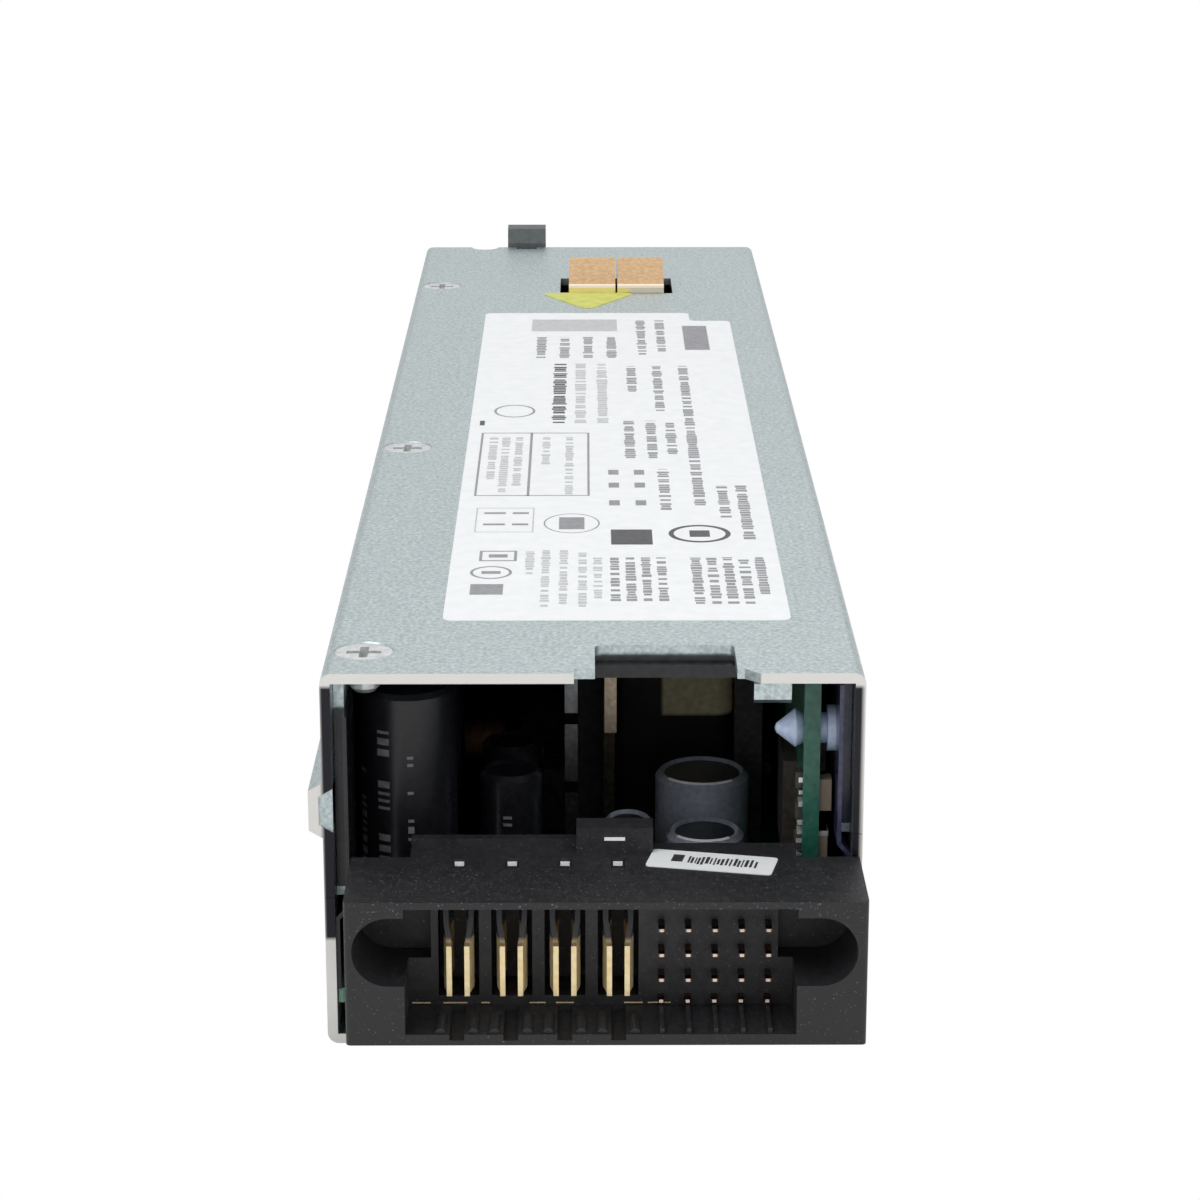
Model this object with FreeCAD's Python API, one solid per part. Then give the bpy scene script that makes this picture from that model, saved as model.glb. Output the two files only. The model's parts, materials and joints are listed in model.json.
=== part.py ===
"""Hot swap server power supply: sheet-metal case, blind-mate connector, fan, latch and bail.

Bench frame used while modelling, in millimetres:
x runs across from the middle of the cover, y back from the cover's front edge,
z up from the underside of the tray.  place_and_save() then moves every piece so that
the origin is the bottom centre of the whole supply's bounding box.
"""
import FreeCAD, Part
import math
import os

V = FreeCAD.Vector

# ---------------------------------------------------------------- case
WIDTH = 52.0                 # across the outside of the cover
HEIGHT = 38.0                # underside of tray to top of cover
LENGTH = 223.0               # cover, front edge to rear edge
SHEET = 1.0                  # steel sheet of cover, tray and rear panel
LAP_GAP = 0.05               # tray wall inside cover wall
BEND = 1.1                   # outer radius of the cover's top bends
COVER_DROP_LEFT = 22.7       # how far the cover's left wall comes down
COVER_DROP_RIGHT = 16.2
RAIL_TOP = 11.0              # keying rail pressed out of the left wall, below the top
RAIL_HEIGHT = 5.6
RAIL_OUT = 1.35
RAIL_SLOPE = 0.8
LAP = 1.0                    # height of the tray's joggle
TONGUE_START = 3.4           # tray's upper wall begins this far behind the cover's edge

NOTCH_LEFT = 0.2             # deep notch in the cover's front edge
NOTCH_RIGHT = 13.8
NOTCH_DEPTH = 9.2
STEP_LEFT = -1.8             # shallow step around it
STEP_RIGHT = 16.0
STEP_DEPTH = 1.5
NOTCH_RADIUS = 0.8
BAFFLE_LONG = 9.0            # moulding under the deep notch
BAFFLE_SIDE = 1.4
BAFFLE_THICK = 1.0
BAFFLE_HOOK = 1.9
CLIP_LAP = 0.6               # curled finger beside the step
CLIP_WIDE = 3.6
CLIP_THICK = 0.4
CLIP_FRONT = 1.2
CLIP_BACK = 10.0
CLIP_DROP = 2.5
EDGE_NOTCH_X = -16.6         # round nick in the rear edge
EDGE_NOTCH_RADIUS = 2.1

# ---------------------------------------------------------------- cover screws
SCREW_SHANK = 3.0
SCREW_HEAD = 5.9
SCREW_SIDE = 3.8             # screw centre to the cover's left side
SCREW_SINK = 0.15            # head below the cover's face
SCREW_YS = (7.5, 90.0, 191.4)
SCREW_LONG = 4.0
TAB_LONG = 8.0
TAB_EDGE = 2.9               # screw centre to the tab's inner edge
RECESS_LONG = 3.4
RECESS_WIDE = 0.85
RECESS_DEEP = 1.1

# ---------------------------------------------------------------- boards
BOARD_THICK = 1.5
BOARD_RISE = 3.0             # board boss above the tray floor
BOARD_FRONT = 0.8
BOARD_CLEAR = 0.5            # board edge to the fan and the inlet
BOARD_SIDE = 0.1             # board edge to the tray's lower wall
BOSS_RADIUS = 3.4
BOARD_SCREW = 2.5
BOARD_SCREW_HEAD = 4.6
BOARD_SCREW_HIGH = 1.7
BOARD_SCREW_RIM = 0.8
BOARD_SCREW_DOME = 0.7
BOARD_SCREW_SIDE = 0.4       # screw head to the film
BOARD_SCREW_FRONT = 4.0
BOARD_SCREW_RISER = 8.0      # screw behind the control board
BOARD_SCREW_FAN = 3.0        # screw ahead of the fan
SCREW_ROOM = 4.8             # lane kept for a screw ahead of the primary heatsink
RISER_SIDE = 5.6             # left face of the upright control board to the right side
RISER_THICK = 1.6
RISER_FRONT = 3.6
RISER_LONG = 55.0
RISER_CLEAR = 0.6            # riser top to cover
FILM = 0.4                   # insulating film
FILM_FRONT = 0.5
FILM_END = 3.0               # film's rear end ahead of the fan
RIVET_BACK = 2.6             # rivet behind the control board's front edge
RIVET_DOWN = 5.9             # and below its top
RIVET_SHANK = 1.5
RIVET_BARB = 1.9
RIVET_NOSE = 2.7
RIVET_TIP = 0.45
RIVET_DISC = 2.25
RIVET_DISC_THICK = 0.8
# right face of the control board: back from its front edge, down from its top, long, high, out
RIGHT_CHIPS = ((0.4, 13.7, 1.8, 3.2, 1.2), (0.4, 19.2, 2.2, 3.4, 0.9),
               (8.4, 12.4, 6.0, 4.0, 1.2), (18.4, 18.4, 8.0, 8.0, 1.1))
LEFT_CHIP_BACK = 8.4
LEFT_CHIP_DOWN = 21.4
LEFT_CHIP_LONG = 9.0
LEFT_CHIP_HIGH = 10.0
LEFT_CHIP_OUT = 1.4
RESISTOR_BACK = 0.6          # column of small parts along the front edge
RESISTOR_DOWN = 11.4
RESISTOR_PITCH = 3.2
RESISTOR_LONG = 1.4
RESISTOR_HIGH = 1.6
RESISTOR_OUT = 0.7

# ---------------------------------------------------------------- connector
CON_LEFT = -23.3
CON_RIGHT = 25.7
CON_BOTTOM = 5.2
CON_TOP = 19.6
CON_FRONT = -12.2
CON_FLANGE = 11.8            # depth of the wide front block
CON_BODY_LEFT = -17.6
CON_BODY_RIGHT = 19.6
CON_BODY_BACK = 3.4
CAVITY_LEFT = -17.7
CAVITY_RIGHT = 19.1
CAVITY_BOTTOM = 6.3
CAVITY_TOP = 18.9
CAVITY_DEPTH = 7.0
POCKET_BOTTOM = 11.2         # guide-pin pockets at both ends
POCKET_HEIGHT = 6.8
POCKET_LEFT = -19.2          # centres of their round ends
POCKET_RIGHT = 21.35
POCKET_REACH = 3.7           # from the round centre inwards
POCKET_DEPTH = 9.5
POWER_X = -12.85             # first pair of power blades
POWER_PITCH = 5.08
POWER_PAIRS = 4
BLADE_GAP = 1.7              # centre to centre within a pair
BLADE_THICK = 0.5
BLADE_BOTTOM = 8.1
BLADE_HIGH = 5.1
BLADE_TIP = -7.3
BLADE_BOW = 0.42
BLADE_SHOULDER = 3.4         # raised part of a blade inside its cell
BLADE_TAIL = 2.2             # tail behind the housing
CELL_WIDE = 3.9
CELL_BACK = -0.6
SIGNAL_X = 6.5
SIGNAL_PITCH = 2.54
SIGNAL_COLUMNS = 5
SIGNAL_ROWS = 4
SIGNAL_TOP = 14.8
PIN_THICK = 0.6
PIN_TIP = -7.3
SHORT_PIN = 0.9              # the lowest row mates last
RIB_WIDE = 1.0
RIB_LONG = 4.0
RIB_SIDE = 1.55              # ribs beside the middle of a pair of blades
PIN_RIB_WIDE = 0.4           # low ribs under the columns of pins
PIN_RIB_HIGH = 0.5
LIP_BACK = 0.3               # ribs begin behind the housing's face
GROOVE_WIDE = 1.4
GROOVE_DEEP = 0.6
BAR_RISE = 0.9               # low bar along the housing's back
BACK_BAR_FRONT = 2.2
BLOCK_LEFT = -1.6            # raised block at its right end
BLOCK_RIGHT = 5.8
BLOCK_FRONT = 0.6
BLOCK_RISE = 2.6
WINDOW_WIDE = 1.4
WINDOW_LONG = 2.6

# ---------------------------------------------------------------- fan
FAN_DEEP = 28.0
FAN_SIDE = 0.15              # fan to the tray's left wall
FAN_BEHIND = 73.0            # fan's front face ahead of the cover's rear edge
FAN_WALL = 0.9
FAN_HUB = 9.2                # radius of the impeller's hub
FAN_BLADES = 7
FAN_TIP_GAP = 0.6
FAN_SHAFT = 1.0
FAN_RUN = 0.05               # radial running clearance
FAN_HOLE_EDGE = 3.8          # corner holes to the fan's sides
FAN_HOLE = 1.9
FAN_SCREW_HEAD = 1.4
FAN_SCREW_RADIUS = 2.6
FAN_SCREW_LONG = 6.0
FAN_FLANGE = 3.4
FAN_CORNER = 2.4
FAN_SEAT = 2.0               # motor seat and spokes at the back
SPOKE_WIDE = 1.8
STATOR_TUBE = 2.4
STATOR_LONG = 14.0
STATOR_REACH = 7.2
POLE_WIDE = 4.4
POLE_LONG = 7.0
POLE_GAP = 3.0               # poles ahead of the motor seat
ROTOR_FRONT = 2.0            # hub behind the fan's front face
HUB_LONG = 17.0
HUB_WALL = 1.2
HUB_CROWN = 2.0
SHAFT_LONG = 21.5
BLADE_CHORD = 13.0
BLADE_HALF = 0.55            # half a blade's thickness
BLADE_CAMBER = 1.2
BLADE_MIDDLE = 9.0           # middle of the blades behind the fan's front face
BLADE_PITCHES = (52.0, 42.0, 34.0)
PLATE_FOOT = 5.0             # foot of the fan's partition
PLATE_FOOT_IN = 2.0

# ---------------------------------------------------------------- rear panel
VENT_EDGE = 1.0              # vent to the bail's lugs
VENT_FOOT = 2.8              # vent above the floor
HEX_FLATS = 3.1
HEX_WEB = 0.8
INLET_SIDE = 12.5            # inlet's middle to the right side
INLET_Z = 17.3
INLET_FLANGE_WIDE = 22.6
INLET_FLANGE_HIGH = 30.6
INLET_FLANGE_THICK = 2.0
INLET_BODY_WIDE = 20.4
INLET_BODY_HIGH = 27.6
INLET_BODY_DEEP = 22.0
INLET_PIN_WIDE = 4.0
INLET_PIN_THICK = 2.0
INLET_PIN_PITCH = 7.0        # outer pins above and below the middle
INLET_PIN_SHIFT = 2.0        # each pin beside the middle
INLET_PIN_SUNK = 2.6         # pin tips inside the mouth
INLET_TAIL = 2.0
INLET_TAIL_PITCH = 2.6
INLET_LEG_WIDE = 3.2
INLET_LEG_THICK = 1.0
SOCKET_WIDE = 16.8
SOCKET_HIGH = 24.4
SOCKET_DEEP = 17.0
SOCKET_CORNER = 4.4
FIT = 0.15                   # clearance round pieces that sit in a cut-out
PANEL_FLANGE = 8.0
LED_RADIUS = 1.5
SIDE_HEAD = 5.0              # countersunk screws in the side walls
SIDE_SCREW_LONG = 2.2
PANEL_SCREW_UP = 7.6         # side screws above the floor's underside
LED_SIDE = 2.6               # light's middle to the tray's wall and to the cover
LED_BEHIND = 4.0             # light's body inside the panel
LED_COLLAR = 1.5
LED_COLLAR_OUT = 0.5

# ---------------------------------------------------------------- latch
LATCH_SHIFT = 1.8            # latch beside the bail's middle
LATCH_WIDE = 6.0
LATCH_PIVOT = 13.0           # pivot ahead of the cover's rear edge
LATCH_DROP = 5.0             # pivot below the cover's top
LATCH_HUB = 2.9
PIN_RADIUS = 1.25
RUN = 0.05                   # radial running clearance of the pivots
TOOTH_RISE = 3.0             # above the cover
TOOTH_LONG = 3.4
ARM_THICK = 3.0
PAD_REACH = 13.0             # thumb pad beyond the rear edge
PAD_WIDE = 8.0
EAR_GAP = 0.3
SHELF_DROP = 9.5             # spring shelf below the pivot
SPRING_RADIUS = 2.0
SPRING_WIRE = 0.5
SPRING_TURNS = 5
SPRING_ARM = 6.4             # spring behind the pivot
PAD_DROOP = 1.5              # underside falls towards the pad's end
PAD_LONG = 6.5               # pad begins this far beyond the rear edge
TOOTH_BACK = 0.7             # tooth behind the rear edge
GRIP_PITCH = 1.5
GRIP_COUNT = 3
BRACKET_FRONT = 4.0          # bracket ahead of the pivot
BRACKET_FLANGE = 4.6
BRACKET_TOP = 0.3            # bracket below the cover
RIVET_RADIUS = 1.0
RIVET_HEAD = 1.7
RIVET_HEAD_HIGH = 0.9
RIVET_SIDE = 2.4             # rivets beside the ears
RIVET_UP = 1.2               # rivets above the pivot
PIN_END = 0.6                # pin beyond the ears
PIN_HEAD = 2.0
PIN_HEAD_LONG = 1.2
LATCH_SWING = 15.0           # degrees

# ---------------------------------------------------------------- bail
BAIL_SIDE = 1.4              # outer face of the left lug to the left side
BAIL_GAP = 1.2               # right lug to the inlet's flange
LUG_THICK = 1.0
LUG_HALF = 3.2
BAIL_BEHIND = 3.9            # pivot behind the rear edge
BAIL_TOP = 7.0               # pivot below the cover's top
BAIL_WIRE = 1.5
BAIL_FOOT = 5.0              # crossbar above the floor
BAIL_TURN = 2.2
BAIL_CORNER = 4.0
STUB_OUT = 0.7

# ---------------------------------------------------------------- grounding spring
FINGER_X = -3.1
FINGER_WIDE = 6.9
FINGER_GAP = 0.3
FINGER_COUNT = 2
FINGER_BEHIND = 37.7         # front lip ahead of the rear edge
FINGER_LIP = 1.1
FINGER_RISE = 3.8
FINGER_RAMP = 8.5
STRIP = 0.3
SLOT_SIDE = 1.3

# ---------------------------------------------------------------- parts on the board
OUT_CAP_RADIUS = 4.9
OUT_CAP_Y = 11.8
OUT_CAP_COUNT = 3
OUT_CAP_GAP = 0.8
CAN_SIDE = 0.3               # cans to the left film
CAP_CLEAR = 1.2              # tall parts to the cover
CRIMP_AT = 1.6               # groove round a capacitor, above its foot
CRIMP_LONG = 1.4
CRIMP_DEEP = 0.35
CAP_EDGE = 0.5
CAP_RIM = 0.9
CAP_RECESS = 0.3
CORE_LONG = 32.0
CORE_WIDE = 20.0
CORE_LEG = 3.0
CORE_LOWER = 2.0             # core below the other tall parts
CORE_CLEAR = 0.6             # core to the control board's parts
CORE_POST_IN = 6.0           # centre post from the core's ends
WINDING_GAP = 0.05
WINDING_IN = 1.0             # winding from the core's ends
WINDING_CORNER = 2.0
CHOKE_RADIUS = 12.0
CHOKE_THICK = 11.0
TRANSFORMER_Y = 40.0
PART_GAP = 2.5
BULK_RADIUS = 12.6
OUT_CHOKE_RADIUS = 8.6
OUT_CHOKE_HOLE = 3.6
OUT_CHOKE_THICK = 9.0
PRIMARY_LONG = 28.0
PRIMARY_SIDE = 1.0           # heatsink to the left film
PRIMARY_BASE = 2.0
FIN_START = 13.0             # lowest fin above the board
FIN_PITCH = 3.6
FIN_LONG = 5.0
FIN_THICK = 1.0
SWITCH_START = 2.0           # power transistors on the primary heatsink
SWITCH_THICK = 4.6
SWITCH_LONG = 10.0
SWITCH_HIGH = 8.0
SWITCH_FOOT = 3.4
SWITCH_LEG = 0.9
SWITCH_LEG_PITCH = 2.9
SWITCH_PITCH = 13.0
SINK_X = -2.8
SINK_FRONT = 18.0
SINK_LONG = 20.0
SINK_THICK = 1.3
SINK_LOWER = 1.0             # heatsink below the other tall parts
SINK_SLOTS = 3
SINK_SLOT_HIGH = 1.2
SINK_SLOT_LONG = 12.0
RECT_THICK = 2.4             # rectifier packages
RECT_LONG = 4.6
RECT_HIGH = 9.0
RECT_FOOT = 4.0
RECT_LEG = 0.6
RECT_LEG_PITCH = 1.5
RECT_PITCH = 5.1
BAR_X = 1.2
BAR_THICK = 1.2
BAR_HIGH = 8.8
BAR_FRONT = 15.0
BAR_LONG = 23.0
BAR_LEG = 4.0
RELAY_LONG = 13.0
RELAY_WIDE = 11.0
RELAY_HIGH = 15.5
RELAY_SIDE = 3.05            # relay to the bulk capacitor
FILM_BOX_WIDE = 12.0
FILM_BOX_HIGH = 17.0
FILM_BOX_SIDE = 4.05         # film capacitor to the bulk capacitor
FILM_BOX_END = 6.0           # and ahead of the fan
CHOKE_SIDE = 3.15            # choke to the right film
CHOKE_HOLE = 5.0
TIMING_X = -8.2
TIMING_RADIUS = 3.15
TIMING_HIGH = 17.6
TIMING_FRONT = 15.5
TIMING_PITCH = 9.0
TIMING_COUNT = 2
FUSE_RADIUS = 2.4
FUSE_CAP_RADIUS = 2.6
FUSE_CAP = 5.0
FUSE_LONG = 20.0
FUSE_FRONT = 3.0             # fuse behind the fan's front face
EMI_RADIUS = 8.6
EMI_HOLE = 3.4
EMI_THICK = 8.0
EMI_SIDE = 0.6               # filter choke to the tray's wall
EMI_BOX_LEFT = 0.5
EMI_BOX_WIDE = 12.5
EMI_BOX_LONG = 7.5
EMI_BOX_HIGH = 13.0
EMI_BOX_GAP = 1.1            # box capacitor to the fan's screws
BIG_CAN = (11.5, 28.5, 4.9, 12.7)    # x, y, radius, height
NEAR_CAN = (11.5, 19.2, 4.0, 9.6)
SMALL_CAN = (3.6, 17.6, 2.5, 11.6)

# ---------------------------------------------------------------- worked out from the above
HALF = WIDTH / 2
UNDER_COVER = HEIGHT - SHEET
SCREW_X = SCREW_SIDE - HALF
RISER_X = HALF - RISER_SIDE
BOARD_BOTTOM = SHEET + BOARD_RISE
BOARD_TOP = BOARD_BOTTOM + BOARD_THICK
TONGUE_OUT = HALF - SHEET - LAP_GAP
TONGUE_IN = TONGUE_OUT - SHEET
REAR = LENGTH                # outer face of the rear panel
PANEL_IN = REAR - SHEET
FAN_FRONT = REAR - FAN_BEHIND
FAN_BACK = FAN_FRONT + FAN_DEEP
FAN = UNDER_COVER - SHEET
FAN_X = FAN / 2 + FAN_SIDE - TONGUE_IN
FAN_Z = SHEET + FAN / 2
FAN_HOLES = FAN / 2 - FAN_HOLE_EDGE
INLET_X = HALF - INLET_SIDE
BAIL_LEFT = BAIL_SIDE - HALF
BAIL_RIGHT = INLET_X - INLET_FLANGE_WIDE / 2 - BAIL_GAP
BAIL_Z = HEIGHT - BAIL_TOP
BAIL_DROP = BAIL_Z - BAIL_FOOT
BAIL_MIDDLE = (BAIL_LEFT + BAIL_RIGHT) / 2
VENT_RADIUS = (BAIL_RIGHT - BAIL_LEFT) / 2 - VENT_EDGE
VENT_X = BAIL_MIDDLE
VENT_Z = VENT_FOOT + VENT_RADIUS
LATCH_X = BAIL_MIDDLE + LATCH_SHIFT
LATCH_Z = HEIGHT - LATCH_DROP
FILM_IN = TONGUE_IN - FILM   # inner face of the films
TALL = UNDER_COVER - CAP_CLEAR - BOARD_TOP
TALL_LEFT = HEIGHT - SCREW_LONG - 0.5 - BOARD_TOP    # under the cover screws
LEFT_LAP = HEIGHT - COVER_DROP_LEFT - LAP_GAP        # top of the tray's flush wall
RIGHT_LAP = HEIGHT - COVER_DROP_RIGHT - LAP_GAP
PIVOT_Y = REAR - LATCH_PIVOT
BAIL_Y = REAR + BAIL_BEHIND
FINGER_Y = REAR - FINGER_BEHIND


# ================================================================ helpers
def box(x0, x1, y0, y1, z0, z1):
    return Part.makeBox(x1 - x0, y1 - y0, z1 - z0, V(x0, y0, z0))


def rod(start, direction, radius, length):
    return Part.makeCylinder(radius, length, V(*start), V(*direction))


def prism(points, plane, low, high):
    """Extrude a polygon drawn in the xz, yz or xy plane along the third axis."""
    place = {
        "xz": lambda a, b: V(a, low, b),
        "yz": lambda a, b: V(low, a, b),
        "xy": lambda a, b: V(a, b, low),
    }[plane]
    along = {"xz": V(0, high - low, 0), "yz": V(high - low, 0, 0), "xy": V(0, 0, high - low)}[plane]
    corners = [place(a, b) for a, b in points]
    return Part.Face(Part.makePolygon(corners + corners[:1])).extrude(along)


def bent_strip(points, thick):
    """Outline of a sheet of even thickness that follows the points on its left side."""
    far = []
    for i, (px, py) in enumerate(points):
        normals = []
        for j in (i - 1, i):
            if 0 <= j < len(points) - 1:
                dx, dy = points[j + 1][0] - points[j][0], points[j + 1][1] - points[j][1]
                run = math.hypot(dx, dy)
                normals.append((dy / run, -dx / run))
        nx = sum(n[0] for n in normals)
        ny = sum(n[1] for n in normals)
        scale = thick * len(normals) / (nx * nx + ny * ny)
        far.append((px + nx * scale, py + ny * scale))
    return list(points) + far[::-1]


def fuse(shapes):
    return shapes[0].multiFuse(shapes[1:]).removeSplitter()


def cut(shape, tools):
    return shape.cut(Part.makeCompound(tools)).removeSplitter()


def group(shapes):
    return Part.makeCompound(shapes)


def edges_along(shape, axis, keep=lambda point: True):
    """Straight edges parallel to an axis whose middle the test keeps."""
    found = []
    for edge in shape.Edges:
        if edge.Curve.TypeId != "Part::GeomLine":
            continue
        a, b = edge.Vertexes[0].Point, edge.Vertexes[-1].Point
        run = b - a
        if abs(abs(run.dot(V(*axis))) - run.Length) < 1e-6 and keep((a + b) / 2):
            found.append(edge)
    return found


def soften(shape, axis, radius, keep=lambda point: True):
    return shape.makeFillet(radius, edges_along(shape, axis, keep))


def turned(profile, centre, axis=(0, 0, 1)):
    """Revolve (radius, height) points about an axis through centre."""
    corners = [V(r, 0, h) for r, h in profile]
    face = Part.Face(Part.makePolygon(corners + corners[:1]))
    solid = face.revolve(V(0, 0, 0), V(0, 0, 1), 360)
    solid.Placement = FreeCAD.Placement(V(*centre), FreeCAD.Rotation(V(0, 0, 1), V(*axis)))
    return solid


def can(x, y, radius, height, axis=(0, 0, 1), z=BOARD_TOP):
    """Electrolytic capacitor: crimped sleeve with a recessed top."""
    profile = [
        (0, 0), (radius, 0), (radius, CRIMP_AT), (radius - CRIMP_DEEP, CRIMP_AT + CRIMP_LONG / 2),
        (radius, CRIMP_AT + CRIMP_LONG), (radius, height - CAP_EDGE), (radius - CAP_EDGE, height),
        (radius - CAP_RIM, height - CAP_RECESS), (0, height - CAP_RECESS),
    ]
    return turned(profile, (x, y, z), axis)


def ring_coil(centre, axis, outer, inner, thick):
    """Toroid: a wound ring with bevelled corners."""
    bevel = min(thick, outer - inner) * 0.28
    profile = [
        (inner, bevel), (inner + bevel, 0), (outer - bevel, 0), (outer, bevel),
        (outer, thick - bevel), (outer - bevel, thick), (inner + bevel, thick), (inner, thick - bevel),
    ]
    return turned(profile, centre, axis)


# ================================================================ case
def joggled_wall(side, top):
    """Tray wall: flush with the cover below, stepped in by one sheet behind it."""
    low = box(HALF - SHEET, HALF, 0, PANEL_IN, 0, top)
    web = box(TONGUE_IN, HALF, TONGUE_START, PANEL_IN, top - LAP, top)
    tongue = box(TONGUE_IN, TONGUE_OUT, TONGUE_START, PANEL_IN, top - LAP, UNDER_COVER)
    wall = fuse([low, web, tongue])
    if side < 0:
        wall = wall.mirror(V(0, 0, 0), V(1, 0, 0))
    return wall


def screw_cone(y):
    """Countersunk hole shared by the cover and the tab under it."""
    deep = (SCREW_HEAD - SCREW_SHANK) / 2
    head = Part.makeCone(SCREW_SHANK / 2, SCREW_HEAD / 2, deep, V(SCREW_X, y, HEIGHT - deep))
    return fuse([head, rod((SCREW_X, y, HEIGHT), (0, 0, -1), SCREW_SHANK / 2, SCREW_LONG + 1)])


def chassis_tray():
    floor = box(-HALF, HALF, 0, PANEL_IN, 0, SHEET)
    pieces = [floor, joggled_wall(-1, LEFT_LAP), joggled_wall(1, RIGHT_LAP)]
    for y in SCREW_YS:
        pieces.append(box(-TONGUE_OUT, SCREW_X + TAB_EDGE, y - TAB_LONG / 2, y + TAB_LONG / 2,
                          UNDER_COVER - SHEET, UNDER_COVER))
    for x, y in board_screw_places():
        pieces.append(rod((x, y, 0), (0, 0, 1), BOSS_RADIUS, BOARD_BOTTOM))
    tray = fuse(pieces)
    holes = [screw_cone(y) for y in SCREW_YS]
    holes += [rod((x, y, 0), (0, 0, 1), BOARD_SCREW / 2, BOARD_BOTTOM) for x, y in board_screw_places()]
    holes += [side_screw(*place) for place in panel_screw_places()]
    tray = cut(tray, holes)
    return soften(tray, (0, 1, 0), BEND, lambda p: p.z < 0.01 and abs(p.x) > HALF - 0.01)


def top_cover():
    left_low = HEIGHT - COVER_DROP_LEFT
    right_low = HEIGHT - COVER_DROP_RIGHT
    rail_top = HEIGHT - RAIL_TOP
    rail_low = rail_top - RAIL_HEIGHT
    section = [
        (-HALF, left_low), (-HALF, rail_low), (-HALF - RAIL_OUT, rail_low + RAIL_SLOPE),
        (-HALF - RAIL_OUT, rail_top - RAIL_SLOPE), (-HALF, rail_top), (-HALF, HEIGHT),
        (HALF, HEIGHT), (HALF, right_low),
    ]
    cover = prism(bent_strip(section, SHEET), "xz", 0, LENGTH)
    cover = soften(cover, (0, 1, 0), BEND, lambda p: p.z > HEIGHT - 0.01)
    deep = prism([(NOTCH_LEFT, -1), (NOTCH_RIGHT, -1), (NOTCH_RIGHT, NOTCH_DEPTH),
                  (NOTCH_LEFT, NOTCH_DEPTH)], "xy", UNDER_COVER - 1, HEIGHT + 1)
    deep = soften(deep, (0, 0, 1), NOTCH_RADIUS, lambda p: p.y > 0)
    chamfer = STEP_DEPTH
    shallow = prism([(STEP_LEFT, -1), (STEP_RIGHT, -1), (STEP_RIGHT, 0), (STEP_RIGHT - chamfer, STEP_DEPTH),
                     (STEP_LEFT, STEP_DEPTH)], "xy", UNDER_COVER - 1, HEIGHT + 1)
    slot = box(FINGER_X - SLOT_SIDE, FINGER_X + finger_span() + SLOT_SIDE, FINGER_Y - 0.1,
               FINGER_Y + FINGER_RAMP + 3.0, UNDER_COVER - 1, HEIGHT + 1)
    nick = rod((EDGE_NOTCH_X, LENGTH, UNDER_COVER - 1), (0, 0, 1), EDGE_NOTCH_RADIUS, SHEET + 2)
    tooth_gap = box(LATCH_X - LATCH_WIDE / 2 + 1.4, LATCH_X + LATCH_WIDE / 2 - 1.4, LENGTH - 1.6, LENGTH + 1,
                    UNDER_COVER - 1, HEIGHT + 1)
    holes = [screw_cone(y) for y in SCREW_YS]
    return cut(cover, [deep, shallow, slot, nick, tooth_gap] + holes)


def cross_recess(x, y):
    """Two crossed slots sunk into the head of a cover screw."""
    low, high = HEIGHT - RECESS_DEEP, HEIGHT + 1
    half = RECESS_WIDE / 2
    reach = RECESS_LONG / 2
    return [box(x - reach, x + reach, y - half, y + half, low, high),
            box(x - half, x + half, y - reach, y + reach, low, high)]


def cover_screws():
    """Countersunk screws that seat in the cover a little below its face."""
    deep = (SCREW_HEAD - SCREW_SHANK) / 2
    bevel = 0.5
    screws = []
    for y in SCREW_YS:
        profile = [
            (0, -SCREW_LONG), (SCREW_SHANK / 2 - bevel, -SCREW_LONG), (SCREW_SHANK / 2, bevel - SCREW_LONG),
            (SCREW_SHANK / 2, -deep), (SCREW_HEAD / 2 - SCREW_SINK, -SCREW_SINK), (0, -SCREW_SINK),
        ]
        screws.append(cut(turned(profile, (SCREW_X, y, HEIGHT)), cross_recess(SCREW_X, y)))
    return group(screws)


def hex_prism(x, z, flats, y0, y1):
    reach = flats / math.sqrt(3)
    turns = [math.radians(60 * k + 30) for k in range(6)]
    return prism([(x + reach * math.cos(turn), z + reach * math.sin(turn)) for turn in turns], "xz", y0, y1)


def vent_hexes():
    pitch = HEX_FLATS + HEX_WEB
    row = pitch * math.sqrt(3) / 2
    reach = int(VENT_RADIUS / row) + 1
    tools = []
    for j in range(-reach, reach + 1):
        for i in range(-reach - 1, reach + 2):
            x = VENT_X + pitch * (i + 0.5 * (j % 2))
            z = VENT_Z + row * j
            if math.hypot(x - VENT_X, z - VENT_Z) <= VENT_RADIUS - HEX_FLATS / 2:
                tools.append(hex_prism(x, z, HEX_FLATS, PANEL_IN - 1, REAR + 1))
    return tools


def panel_screw_places():
    """One screw through each side wall of the tray into the panel's flange."""
    return [(side, PANEL_IN - PANEL_FLANGE / 2, PANEL_SCREW_UP) for side in (-1, 1)]


def bail_lug(x0):
    rear_end = BAIL_Y
    plate = box(x0, x0 + LUG_THICK, PANEL_IN, rear_end, BAIL_Z - LUG_HALF, BAIL_Z + LUG_HALF)
    nose = rod((x0, rear_end, BAIL_Z), (1, 0, 0), LUG_HALF, LUG_THICK)
    return fuse([plate, nose])


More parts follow.
